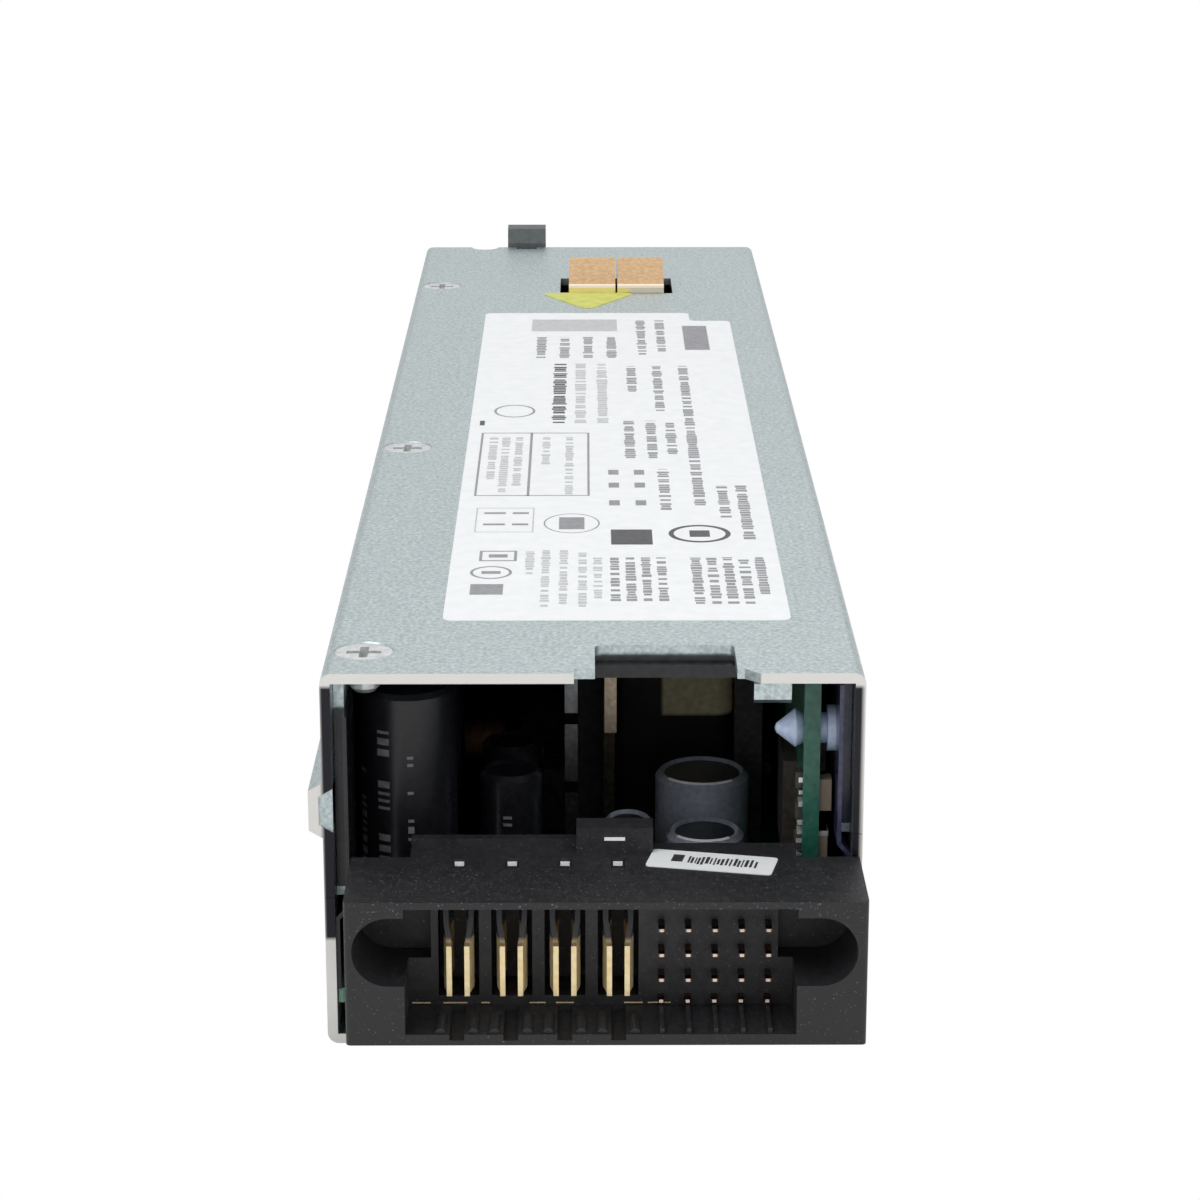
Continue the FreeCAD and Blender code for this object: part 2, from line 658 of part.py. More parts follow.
def rear_panel():
    outline = [(-HALF, 0), (HALF, 0), (HALF, RIGHT_LAP), (TONGUE_OUT, RIGHT_LAP), (TONGUE_OUT, UNDER_COVER),
               (-TONGUE_OUT, UNDER_COVER), (-TONGUE_OUT, LEFT_LAP), (-HALF, LEFT_LAP)]
    plate = soften(prism(outline, "xz", PANEL_IN, REAR), (0, 1, 0), BEND, lambda p: p.z < 0.01)
    flange_in = HALF - SHEET - LAP_GAP
    pieces = [plate]
    flange_top = LEFT_LAP - LAP - 0.5
    for side in (-1, 1):
        x0, x1 = sorted((side * flange_in, side * (flange_in - SHEET)))
        pieces.append(box(x0, x1, PANEL_IN - PANEL_FLANGE, REAR, SHEET + 0.3, flange_top))
    for x0 in (BAIL_LEFT, BAIL_RIGHT - LUG_THICK):
        pieces.append(bail_lug(x0))
    panel = fuse(pieces)
    tools = vent_hexes()
    tools.append(box(INLET_X - INLET_BODY_WIDE / 2 - FIT, INLET_X + INLET_BODY_WIDE / 2 + FIT, PANEL_IN - 1,
                     REAR + 1, INLET_Z - INLET_BODY_HIGH / 2 - FIT, INLET_Z + INLET_BODY_HIGH / 2 + FIT))
    window_low = LATCH_Z - ARM_THICK / 2 - (LATCH_PIVOT + SHEET) * math.tan(math.radians(LATCH_SWING)) - 1.2
    tools.append(box(LATCH_X - LATCH_WIDE / 2 - EAR_GAP - 0.3, LATCH_X + LATCH_WIDE / 2 + EAR_GAP + 0.3,
                     PANEL_IN - 1, REAR + 1, window_low, UNDER_COVER + 1))
    tools.append(rod((BAIL_LEFT - 1, BAIL_Y, BAIL_Z), (1, 0, 0), BAIL_WIRE + RUN, BAIL_RIGHT - BAIL_LEFT + 2))
    tools.append(rod((led_x(), PANEL_IN - 1, led_z()), (0, 1, 0), LED_RADIUS + RUN, SHEET + 2))
    tools += [rod((x, PANEL_IN - 1, z), (0, 1, 0), RIVET_RADIUS, SHEET + 2)
              for x, z in bracket_rivet_places()]
    tools += [rod((side * HALF, y, z), (-side, 0, 0), SCREW_SHANK / 2, SHEET * 3)
              for side, y, z in panel_screw_places()]
    return cut(panel, tools)


def side_screw(side, y, z):
    """Countersunk screw in a side wall; the same shape cuts its hole."""
    deep = (SIDE_HEAD - SCREW_SHANK) / 2
    profile = [(0, 0), (SIDE_HEAD / 2, 0), (SCREW_SHANK / 2, deep), (SCREW_SHANK / 2, SIDE_SCREW_LONG),
               (0, SIDE_SCREW_LONG)]
    return turned(profile, (side * HALF, y, z), (-side, 0, 0))


def rear_panel_screws():
    return group([side_screw(*place) for place in panel_screw_places()])


def led_x():
    return TONGUE_IN - LED_SIDE


def led_z():
    return UNDER_COVER - LED_SIDE


def status_led():
    """Light pipe through the panel with a domed end and a small LED body behind."""
    face = LED_BEHIND + SHEET
    collar = LED_RADIUS + LED_COLLAR_OUT
    profile = [
        (0, 0), (LED_RADIUS, 0), (LED_RADIUS, LED_BEHIND - LED_COLLAR), (collar, LED_BEHIND - LED_COLLAR),
        (collar, LED_BEHIND), (LED_RADIUS, LED_BEHIND), (LED_RADIUS, face),
        (LED_RADIUS * 0.8, face + LED_RADIUS * 0.6), (0, face + LED_RADIUS),
    ]
    return turned(profile, (led_x(), PANEL_IN - LED_BEHIND, led_z()), (0, 1, 0))


# ================================================================ boards and insulation
def board_screw_places():
    inner = FILM_IN - BOARD_SCREW_HEAD / 2 - BOARD_SCREW_SIDE
    return [(-inner, BOARD_SCREW_FRONT), (inner, RISER_FRONT + RISER_LONG + BOARD_SCREW_RISER),
            (-inner, primary_start() - PART_GAP - SCREW_ROOM / 2), (inner, FAN_FRONT - BOARD_SCREW_FAN)]


def main_board():
    edge = HALF - SHEET - BOARD_SIDE
    strip_left = FAN_X + FAN / 2 + BOARD_CLEAR
    front_end = FAN_FRONT - BOARD_CLEAR
    rear_start = FAN_BACK + SHEET + FAN_SCREW_HEAD + BOARD_CLEAR
    rear_end = REAR - INLET_BODY_DEEP - BOARD_CLEAR
    outline = [
        (-edge, BOARD_FRONT), (edge, BOARD_FRONT), (edge, rear_end), (-edge, rear_end),
        (-edge, rear_start), (strip_left, rear_start), (strip_left, front_end), (-edge, front_end),
    ]
    board = prism(outline, "xy", BOARD_BOTTOM, BOARD_TOP)
    holes = [rod((x, y, BOARD_BOTTOM - 1), (0, 0, 1), BOARD_SCREW / 2, BOARD_THICK + 2)
             for x, y in board_screw_places()]
    return cut(board, holes)


def board_screws():
    radius = BOARD_SCREW_HEAD / 2
    foot = SHEET / 2
    profile = [(0, 0), (radius, 0), (radius, BOARD_SCREW_RIM), (radius - BOARD_SCREW_DOME, BOARD_SCREW_HIGH),
               (0, BOARD_SCREW_HIGH)]
    screws = []
    for x, y in board_screw_places():
        shank = rod((x, y, foot), (0, 0, 1), BOARD_SCREW / 2, BOARD_TOP - foot)
        screws.append(fuse([shank, turned(profile, (x, y, BOARD_TOP))]))
    return group(screws)


def riser_top():
    return UNDER_COVER - RISER_CLEAR


def control_board():
    board = box(RISER_X, RISER_X + RISER_THICK, RISER_FRONT, RISER_FRONT + RISER_LONG, BOARD_TOP, riser_top())
    hole = rod((RISER_X - 1, rivet_y(), rivet_z()), (1, 0, 0), RIVET_SHANK, RISER_THICK + 2)
    return cut(board, [hole])


def rivet_y():
    return RISER_FRONT + RIVET_BACK


def rivet_z():
    return riser_top() - RIVET_DOWN


def board_rivet():
    """Nylon snap rivet: disc on the right, barbed nose on the left of the board."""
    right = FILM_IN - (RISER_X + RISER_THICK)
    disc = right - RIVET_DISC_THICK
    start = -(RIVET_NOSE + RISER_THICK)
    profile = [
        (0, start), (RIVET_TIP, start + 0.15), (RIVET_BARB, -RISER_THICK - 0.7), (RIVET_SHANK, -RISER_THICK),
        (RIVET_SHANK, disc), (RIVET_DISC, disc), (RIVET_DISC, right), (0, right),
    ]
    return turned(profile, (RISER_X + RISER_THICK, rivet_y(), rivet_z()), (1, 0, 0))


def control_board_chips():
    """Surface-mount parts on both faces of the upright board."""
    right = RISER_X + RISER_THICK
    chips = []
    for back, down, long, high, out in RIGHT_CHIPS:
        y, z = RISER_FRONT + back, riser_top() - down
        chips.append(box(right, right + out, y, y + long, z, z + high))
    y, z = RISER_FRONT + LEFT_CHIP_BACK, riser_top() - LEFT_CHIP_DOWN
    chips.append(box(RISER_X - LEFT_CHIP_OUT, RISER_X, y, y + LEFT_CHIP_LONG, z, z + LEFT_CHIP_HIGH))
    y, first = RISER_FRONT + RESISTOR_BACK, riser_top() - RESISTOR_DOWN
    for row in range(int((first - BOARD_TOP) / RESISTOR_PITCH)):
        z = first - RESISTOR_PITCH * row
        chips.append(box(RISER_X - RESISTOR_OUT, RISER_X, y, y + RESISTOR_LONG, z, z + RESISTOR_HIGH))
    return group(chips)


def insulator(side, lap, top):
    """Film on the board against the tray's wall, folded over the wall's front edge."""
    wall = HALF - SHEET
    step = lap - LAP - 0.1
    slope = 1.2
    outer = [(TONGUE_IN, top), (TONGUE_IN, step), (wall, step - slope), (wall, BOARD_TOP)]
    film = prism(bent_strip(outer, FILM), "xz", FILM_FRONT, FAN_FRONT - FILM_END)
    lip = box(FILM_IN, TONGUE_OUT, TONGUE_START - FILM, TONGUE_START, lap + LAP_GAP, top)
    film = fuse([film, lip])
    return film if side > 0 else film.mirror(V(0, 0, 0), V(1, 0, 0))


def insulator_left():
    return insulator(-1, LEFT_LAP, HEIGHT - SCREW_LONG - 0.5)


def insulator_right():
    return insulator(1, RIGHT_LAP, UNDER_COVER - 0.3)


# ================================================================ connector
def power_centres():
    return [POWER_X + POWER_PITCH * k for k in range(POWER_PAIRS)]


def signal_places():
    return [(SIGNAL_X + SIGNAL_PITCH * i, SIGNAL_TOP - SIGNAL_PITCH * j, j)
            for i in range(SIGNAL_COLUMNS) for j in range(SIGNAL_ROWS)]


def pocket(centre_x, inward):
    middle = POCKET_BOTTOM + POCKET_HEIGHT / 2
    round_end = rod((centre_x, CON_FRONT - 1, middle), (0, 1, 0), POCKET_HEIGHT / 2, POCKET_DEPTH + 1)
    x0, x1 = sorted((centre_x, centre_x + inward * POCKET_REACH))
    flat = box(x0, x1, CON_FRONT - 1, CON_FRONT + POCKET_DEPTH, POCKET_BOTTOM, POCKET_BOTTOM + POCKET_HEIGHT)
    return fuse([round_end, flat])


def connector_housing():
    flange_back = CON_FRONT + CON_FLANGE
    wide = box(CON_LEFT, CON_RIGHT, CON_FRONT, flange_back, CON_BOTTOM, CON_TOP)
    wide = soften(wide, (0, 0, 1), 0.5, lambda p: p.y < CON_FRONT + 0.1)
    body = box(CON_BODY_LEFT, CON_BODY_RIGHT, flange_back, CON_BODY_BACK, BOARD_TOP, CON_TOP)
    bar = box(CON_BODY_LEFT, BLOCK_LEFT, BACK_BAR_FRONT, CON_BODY_BACK, CON_TOP, CON_TOP + BAR_RISE)
    block = box(BLOCK_LEFT, BLOCK_RIGHT, BLOCK_FRONT, CON_BODY_BACK, CON_TOP, CON_TOP + BLOCK_RISE)
    housing = fuse([body, wide, bar, block])
    cavity_back = CON_FRONT + CAVITY_DEPTH
    cavity = box(CAVITY_LEFT, CAVITY_RIGHT, CON_FRONT - 1, cavity_back, CAVITY_BOTTOM, CAVITY_TOP)
    tools = [cavity, pocket(POCKET_LEFT, 1), pocket(POCKET_RIGHT, -1)]
    for x in power_centres():
        tools.append(box(x - CELL_WIDE / 2, x + CELL_WIDE / 2, cavity_back - 1, CELL_BACK,
                         CAVITY_BOTTOM + 1.0, CAVITY_TOP - 0.4))
        tools.append(box(x - WINDOW_WIDE / 2, x + WINDOW_WIDE / 2, flange_back - WINDOW_LONG - 0.4,
                         flange_back - 0.4, CAVITY_TOP - 1, CON_TOP + 1))
        for side in (-1, 1):
            middle = x + side * BLADE_GAP / 2
            tools.append(box(middle - BLADE_THICK / 2, middle + BLADE_THICK / 2, CELL_BACK - 1,
                             CON_BODY_BACK + 1, BLADE_BOTTOM, BLADE_BOTTOM + BLADE_HIGH))
    for x, z, row in signal_places():
        half = PIN_THICK / 2
        tools.append(box(x - half, x + half, cavity_back - 1, CON_BODY_BACK + 1, z - half, z + half))
    # grooves in the cavity floor between the ribs of the front lip
    for x in power_centres():
        tools.append(box(x - GROOVE_WIDE / 2, x + GROOVE_WIDE / 2, CON_FRONT - 1, cavity_back,
                         CAVITY_BOTTOM - GROOVE_DEEP, CAVITY_BOTTOM + 1))
    housing = cut(housing, tools)
    ribs = []
    lip = CON_FRONT + LIP_BACK
    for x in power_centres():
        for side in (-1, 1):
            ribs.append(rod((x + side * RIB_SIDE, lip, CAVITY_BOTTOM), (0, 1, 0), RIB_WIDE / 2, RIB_LONG))
    half = PIN_RIB_WIDE / 2
    for k in range(SIGNAL_COLUMNS):
        x = SIGNAL_X + SIGNAL_PITCH * k
        ribs.append(box(x - half, x + half, lip, cavity_back, CAVITY_BOTTOM, CAVITY_BOTTOM + PIN_RIB_HIGH))
    return fuse([housing] + ribs)


def power_blade(centre_x, side):
    """Sprung leaf: straight through the housing wall, bowed outwards, closing at the tip."""
    offset = BLADE_GAP / 2
    back = CON_BODY_BACK + BLADE_TAIL
    spine = [(offset, back), (offset, CELL_BACK), (offset + BLADE_BOW * 0.6, CELL_BACK - 1.4),
             (offset + BLADE_BOW, CELL_BACK - 3.0), (offset + BLADE_BOW * 0.8, CELL_BACK - 4.4),
             (offset, BLADE_TIP + 0.9), (offset, BLADE_TIP)]
    near = [(centre_x + side * (u - BLADE_THICK / 2), v) for u, v in spine]
    far = [(centre_x + side * (u + BLADE_THICK / 2), v) for u, v in spine[::-1]]
    plan = prism(near + far, "xy", BOARD_TOP, CAVITY_TOP)
    top = BLADE_BOTTOM + BLADE_HIGH
    shoulder = top + BLADE_SHOULDER
    tail = CON_BODY_BACK + 0.3
    side_view = [(BLADE_TIP, BLADE_BOTTOM), (tail, BLADE_BOTTOM), (tail, BOARD_TOP), (back, BOARD_TOP),
                 (back, top), (CELL_BACK - 0.2, top), (CELL_BACK - 0.2, shoulder),
                 (CELL_BACK - 3.0, shoulder), (BLADE_TIP + 1.0, top), (BLADE_TIP, top)]
    return plan.common(prism(side_view, "yz", centre_x - 3, centre_x + 3))


def power_contacts():
    return group([power_blade(x, side) for x in power_centres() for side in (-1, 1)])


def signal_pins():
    """Right-angle pins: pointed tip, straight run through the housing, tail down to the board."""
    half = PIN_THICK / 2
    pins = []
    for x, z, row in signal_places():
        tip = PIN_TIP + (SHORT_PIN if row == SIGNAL_ROWS - 1 else 0)
        tail = CON_BODY_BACK + 1.0 + 1.4 * (SIGNAL_ROWS - 1 - row)
        side_view = [(tip, z - half * 0.5), (tip + 0.5, z - half), (tail, z - half), (tail, BOARD_TOP),
                     (tail + PIN_THICK, BOARD_TOP), (tail + PIN_THICK, z + half), (tip + 0.5, z + half),
                     (tip, z + half * 0.5)]
        pins.append(prism(side_view, "yz", x - half, x + half))
    return group(pins)


# ================================================================ parts on the board
def output_capacitors():
    """Tall output cans in a row along the left wall."""
    x = -FILM_IN + CAN_SIDE + OUT_CAP_RADIUS
    return group([can(x, OUT_CAP_Y + out_cap_pitch() * k, OUT_CAP_RADIUS, TALL_LEFT)
                  for k in range(OUT_CAP_COUNT)])


def out_cap_pitch():
    return 2 * OUT_CAP_RADIUS + OUT_CAP_GAP


def timing_capacitors():
    """Shorter sleeved cans between the tall row and the heatsink."""
    return group([can(TIMING_X, TIMING_FRONT + TIMING_PITCH * k, TIMING_RADIUS, TIMING_HIGH)
                  for k in range(TIMING_COUNT)])


def filter_capacitors():
    """Low aluminium cans behind the signal pins."""
    return group([can(*place) for place in (BIG_CAN, NEAR_CAN, SMALL_CAN)])


def secondary_heatsink():
    """Upright slotted plate between the output cans and the filter cans."""
    high = TALL - SINK_LOWER
    plate = box(SINK_X, SINK_X + SINK_THICK, SINK_FRONT, SINK_FRONT + SINK_LONG, BOARD_TOP, BOARD_TOP + high)
    slots = []
    for k in range(SINK_SLOTS):
        z = BOARD_TOP + high * (k + 1) / (SINK_SLOTS + 1)
        slots.append(box(SINK_X - 1, SINK_X + SINK_THICK + 1, SINK_FRONT - 1, SINK_FRONT + SINK_SLOT_LONG,
                         z - SINK_SLOT_HIGH / 2, z + SINK_SLOT_HIGH / 2))
    return cut(plate, slots)


def package(x, y, thick, long, foot, high, leg, pitch):
    """Moulded power package on three square legs."""
    body = box(x, x + thick, y, y + long, BOARD_TOP + foot, BOARD_TOP + foot + high)
    legs = []
    for k in (-1, 0, 1):
        middle = y + long / 2 + pitch * k
        legs.append(box(x + (thick - leg) / 2, x + (thick + leg) / 2, middle - leg / 2, middle + leg / 2,
                        BOARD_TOP, BOARD_TOP + foot))
    return fuse([body] + legs)


def rectifiers():
    """Power packages clamped to the left face of the secondary heatsink."""
    start = SINK_FRONT + SINK_LONG / 2
    return group([package(SINK_X - RECT_THICK, start + RECT_PITCH * k, RECT_THICK, RECT_LONG, RECT_FOOT,
                          RECT_HIGH, RECT_LEG, RECT_LEG_PITCH) for k in range(2)])


def bus_bar():
    """Copper bar that hangs from its rear leg close under the cover."""
    top = UNDER_COVER - CAP_CLEAR
    low = top - BAR_HIGH
    rear = BAR_FRONT + BAR_LONG
    outline = [(BAR_FRONT, low), (rear - BAR_LEG, low), (rear - BAR_LEG, BOARD_TOP), (rear, BOARD_TOP),
               (rear, top), (BAR_FRONT, top)]
    return prism(outline, "yz", BAR_X, BAR_X + BAR_THICK)


def notch_baffle():
    """Black moulded strip hooked under the notch to keep fingers out."""
    edge, end = NOTCH_DEPTH, NOTCH_DEPTH + BAFFLE_LONG
    outline = [(edge - 0.4, 0), (end, 0), (end, -BAFFLE_THICK), (edge + 1.2, -BAFFLE_THICK),
               (edge + 0.8, -BAFFLE_HOOK), (edge - BAFFLE_SIDE, -BAFFLE_HOOK), (edge - BAFFLE_SIDE, -0.7),
               (edge - 0.4, -0.5)]
    return prism([(y, UNDER_COVER + z) for y, z in outline], "yz", NOTCH_LEFT - BAFFLE_SIDE,
                 NOTCH_RIGHT + BAFFLE_SIDE)


def spring_clip():
    """Curled steel finger under the cover's front edge, right of the notch."""
    x0 = STEP_RIGHT - CLIP_LAP
    line = [(CLIP_BACK, UNDER_COVER), (CLIP_FRONT + 0.4, UNDER_COVER), (CLIP_FRONT, UNDER_COVER - 0.4),
            (CLIP_FRONT, UNDER_COVER - CLIP_DROP + 0.5), (CLIP_FRONT + 0.6, UNDER_COVER - CLIP_DROP)]
    return prism(bent_strip(line, -CLIP_THICK), "yz", x0, x0 + CLIP_WIDE)


def transformer_y1():
    return TRANSFORMER_Y + CORE_LONG


def transformer_x0():
    return RISER_X - LEFT_CHIP_OUT - CORE_CLEAR - CORE_WIDE


def transformer_core():
    x0 = transformer_x0()
    x1 = x0 + CORE_WIDE
    y0, y1 = TRANSFORMER_Y, transformer_y1()
    top = BOARD_TOP + TALL - CORE_LOWER
    low, high = BOARD_TOP + CORE_LEG, top - CORE_LEG
    outer = box(x0, x1, y0, y1, BOARD_TOP, top)
    window = box(x0 + CORE_LEG, x1 - CORE_LEG, y0 - 1, y1 + 1, low, high)
    middle = (x0 + x1) / 2
    post = box(middle - CORE_LEG, middle + CORE_LEG, y0 + CORE_POST_IN, y1 - CORE_POST_IN, low, high)
    return fuse([cut(outer, [window]), post])


def transformer_winding():
    """Taped winding that fills the core's window round its post."""
    x0 = transformer_x0()
    x1 = x0 + CORE_WIDE
    y0, y1 = TRANSFORMER_Y, transformer_y1()
    top = BOARD_TOP + TALL - CORE_LOWER
    side = CORE_LEG + WINDING_GAP
    outer = box(x0 + side, x1 - side, y0 + WINDING_IN, y1 - WINDING_IN, BOARD_TOP + side, top - side)
    outer = soften(outer, (0, 0, 1), WINDING_CORNER)
    middle = (x0 + x1) / 2
    end = CORE_POST_IN - WINDING_GAP
    post = box(middle - side, middle + side, y0 + end, y1 - end, BOARD_TOP, top)
    return cut(outer, [post])


def left_lane():
    """Middle line of the lane between the left insulator and the transformer."""
    return (transformer_x0() - FILM_IN) / 2


def output_choke():
    x = left_lane() - OUT_CHOKE_THICK / 2
    centre = (x, out_choke_y0() + OUT_CHOKE_RADIUS, BOARD_TOP + OUT_CHOKE_RADIUS)
    return ring_coil(centre, (1, 0, 0), OUT_CHOKE_RADIUS, OUT_CHOKE_HOLE, OUT_CHOKE_THICK)


def out_choke_y0():
    return OUT_CAP_Y + out_cap_pitch() * OUT_CAP_COUNT - OUT_CAP_RADIUS + PART_GAP


def primary_start():
    """Front of the primary heatsink, leaving room for a board screw ahead of it."""
    return out_choke_y0() + 2 * OUT_CHOKE_RADIUS + 2 * PART_GAP + SCREW_ROOM


def primary_y0():
    return transformer_y1() + PART_GAP


def primary_heatsink():
    """Finned extrusion along the left wall."""
    x0 = PRIMARY_SIDE - FILM_IN
    y0, y1 = primary_start(), primary_start() + PRIMARY_LONG
    root = x0 + PRIMARY_BASE
    pieces = [box(x0, root, y0, y1, BOARD_TOP, BOARD_TOP + TALL_LEFT)]
    for k in range(int((TALL_LEFT - FIN_START - FIN_THICK) / FIN_PITCH) + 1):
        z = BOARD_TOP + FIN_START + FIN_PITCH * k
        pieces.append(box(root, root + FIN_LONG, y0, y1, z, z + FIN_THICK))
    return fuse(pieces)


def power_transistors():
    """Power packages on the primary heatsink, under its fins."""
    x0 = PRIMARY_SIDE + PRIMARY_BASE - FILM_IN
    start = primary_start() + SWITCH_START
    return group([package(x0, start + SWITCH_PITCH * k, SWITCH_THICK, SWITCH_LONG, SWITCH_FOOT, SWITCH_HIGH,
                          SWITCH_LEG, SWITCH_LEG_PITCH) for k in range(2)])


def pfc_choke():
    x = FILM_IN - CHOKE_SIDE - CHOKE_RADIUS
    centre = (x, primary_y0(), BOARD_TOP + CHOKE_RADIUS)
    return ring_coil(centre, (0, 1, 0), CHOKE_RADIUS, CHOKE_HOLE, CHOKE_THICK)


def bulk_y0():
    return primary_start() + PRIMARY_LONG + PART_GAP


def bulk_capacitor():
    x = CAN_SIDE + BULK_RADIUS - FILM_IN
    start = bulk_y0()
    return can(x, start, BULK_RADIUS, FAN_FRONT - PART_GAP - start, axis=(0, 1, 0), z=BOARD_TOP + BULK_RADIUS)


def bulk_right():
    return CAN_SIDE + 2 * BULK_RADIUS - FILM_IN


def relay_y0():
    return primary_y0() + CHOKE_THICK + PART_GAP


def relay():
    x = bulk_right() + RELAY_SIDE
    case = box(x, x + RELAY_WIDE, relay_y0(), relay_y0() + RELAY_LONG, BOARD_TOP, BOARD_TOP + RELAY_HIGH)
    return soften(case, (0, 0, 1), 0.6)


def film_capacitor():
    start = relay_y0() + RELAY_LONG + PART_GAP
    x = bulk_right() + FILM_BOX_SIDE
    case = box(x, x + FILM_BOX_WIDE, start, FAN_FRONT - FILM_BOX_END, BOARD_TOP, BOARD_TOP + FILM_BOX_HIGH)
    return soften(case, (0, 0, 1), 0.8)


def fuse_link():
    """Ceramic cartridge fuse with end caps, on the strip beside the fan."""
    x = (FAN_X + FAN / 2 + TONGUE_IN) / 2
    start = FAN_FRONT + FUSE_FRONT
    z = BOARD_TOP + FUSE_CAP_RADIUS
    tube = rod((x, start, z), (0, 1, 0), FUSE_RADIUS, FUSE_LONG)
    caps = [rod((x, y, z), (0, 1, 0), FUSE_CAP_RADIUS, FUSE_CAP)
            for y in (start, start + FUSE_LONG - FUSE_CAP)]
    return fuse([tube] + caps)


def emi_choke():
    middle = (FAN_BACK + SHEET + REAR - INLET_BODY_DEEP) / 2
    centre = (EMI_SIDE + EMI_RADIUS - TONGUE_IN, middle - EMI_THICK / 2, BOARD_TOP + EMI_RADIUS)
    return ring_coil(centre, (0, 1, 0), EMI_RADIUS, EMI_HOLE, EMI_THICK)


def emi_capacitor():
    y = FAN_BACK + SHEET + FAN_SCREW_HEAD + EMI_BOX_GAP
    x = EMI_BOX_LEFT
    case = box(x, x + EMI_BOX_WIDE, y, y + EMI_BOX_LONG, BOARD_TOP, BOARD_TOP + EMI_BOX_HIGH)
    return soften(case, (0, 0, 1), 0.8)


# ================================================================ fan
def fan_frame():
    """Square flanges at both ends of a round duct, with four spokes to the motor seat."""
    half = FAN / 2
    bore = half - FAN_WALL
    x0, x1 = FAN_X - half, FAN_X + half
    z0, z1 = FAN_Z - half, FAN_Z + half
    ends = [box(x0, x1, y, y + FAN_FLANGE, z0, z1) for y in (FAN_FRONT, FAN_BACK - FAN_FLANGE)]
    ends = [soften(end, (0, 1, 0), FAN_CORNER) for end in ends]
    duct = rod((FAN_X, FAN_FRONT, FAN_Z), (0, 1, 0), half, FAN_DEEP)
    holes = [rod((FAN_X, FAN_FRONT - 1, FAN_Z), (0, 1, 0), bore, FAN_DEEP + 2)]
    for x, z in fan_screw_places():
        holes.append(rod((x, FAN_FRONT - 1, z), (0, 1, 0), FAN_HOLE, FAN_DEEP + 2))
    body = cut(fuse(ends + [duct]), holes)
    seat_front = FAN_BACK - FAN_SEAT
    seat = rod((FAN_X, seat_front, FAN_Z), (0, 1, 0), FAN_HUB, FAN_SEAT)
    spokes = []
    for k in range(4):
        spoke = box(FAN_HUB - 1, bore + 0.3, seat_front, FAN_BACK, -SPOKE_WIDE / 2, SPOKE_WIDE / 2)
        spoke.rotate(V(0, 0, 0), V(0, 1, 0), 45 + 90 * k)
        spoke.translate(V(FAN_X, 0, FAN_Z))
        spokes.append(spoke)
    return fuse([body, seat] + spokes)


def fan_stator():
    """Wound four-pole stator on the bearing tube."""
    start = FAN_BACK - FAN_SEAT
    rear = start - POLE_GAP
    poles = [rod((FAN_X, start, FAN_Z), (0, -1, 0), STATOR_TUBE, STATOR_LONG)]
    for k in range(4):
        pole = box(STATOR_TUBE - 0.9, STATOR_REACH, rear - POLE_LONG, rear, -POLE_WIDE / 2, POLE_WIDE / 2)
        pole.rotate(V(0, 0, 0), V(0, 1, 0), 90 * k)
        pole.translate(V(FAN_X, 0, FAN_Z))
        poles.append(pole)
    bore = rod((FAN_X, start + 0.01, FAN_Z), (0, -1, 0), FAN_SHAFT + FAN_RUN, STATOR_LONG + 1)
    return cut(fuse(poles), [bore])


def fan_blade(angle):
    """One twisted blade lofted from a steep root to a flatter tip."""
    bore = FAN / 2 - FAN_WALL
    radii = (FAN_HUB - 2.5, (FAN_HUB + bore) / 2, bore + 1.0)
    sections = []
    for radius, pitch in zip(radii, BLADE_PITCHES):
        lean = math.radians(pitch)
        along = V(0, math.sin(lean), math.cos(lean)) * (BLADE_CHORD / 2)
        across = V(0, math.cos(lean), -math.sin(lean)) * BLADE_HALF
        camber = V(0, math.cos(lean), -math.sin(lean)) * -BLADE_CAMBER
        middle = V(radius, FAN_FRONT + BLADE_MIDDLE, 0)
        points = [middle - along + across * 0.3, middle + camber + across, middle + along + across * 0.3,
                  middle + along - across * 0.3, middle + camber - across, middle - along - across * 0.3]
        sections.append(Part.makePolygon(points + points[:1]))
    blade = Part.makeLoft(sections, True, True)
    blade.rotate(V(0, 0, 0), V(0, 1, 0), angle)
    blade.translate(V(FAN_X, 0, FAN_Z))
    return blade


def fan_rotor():
    """Impeller: closed hub cup on the shaft with twisted blades round it."""
    front = FAN_FRONT + ROTOR_FRONT
    inside = FAN_HUB - HUB_WALL
    cup = turned([(0, 0), (inside, 0), (FAN_HUB, HUB_WALL), (FAN_HUB, HUB_LONG), (0, HUB_LONG)],
                 (FAN_X, front, FAN_Z), (0, 1, 0))
    hollow = rod((FAN_X, front + HUB_CROWN, FAN_Z), (0, 1, 0), inside, HUB_LONG)
    shaft = rod((FAN_X, front + HUB_CROWN / 2, FAN_Z), (0, 1, 0), FAN_SHAFT, SHAFT_LONG)
    cup = fuse([cut(cup, [hollow]), shaft])
    keep_out = rod((FAN_X, FAN_FRONT, FAN_Z), (0, 1, 0), FAN_HUB - 0.2, FAN_DEEP)
    sweep = rod((FAN_X, FAN_FRONT, FAN_Z), (0, 1, 0), FAN / 2 - FAN_WALL - FAN_TIP_GAP, FAN_DEEP)
    blades = [fan_blade(360.0 * k / FAN_BLADES).cut(keep_out).common(sweep) for k in range(FAN_BLADES)]
    return fuse([cup] + blades)


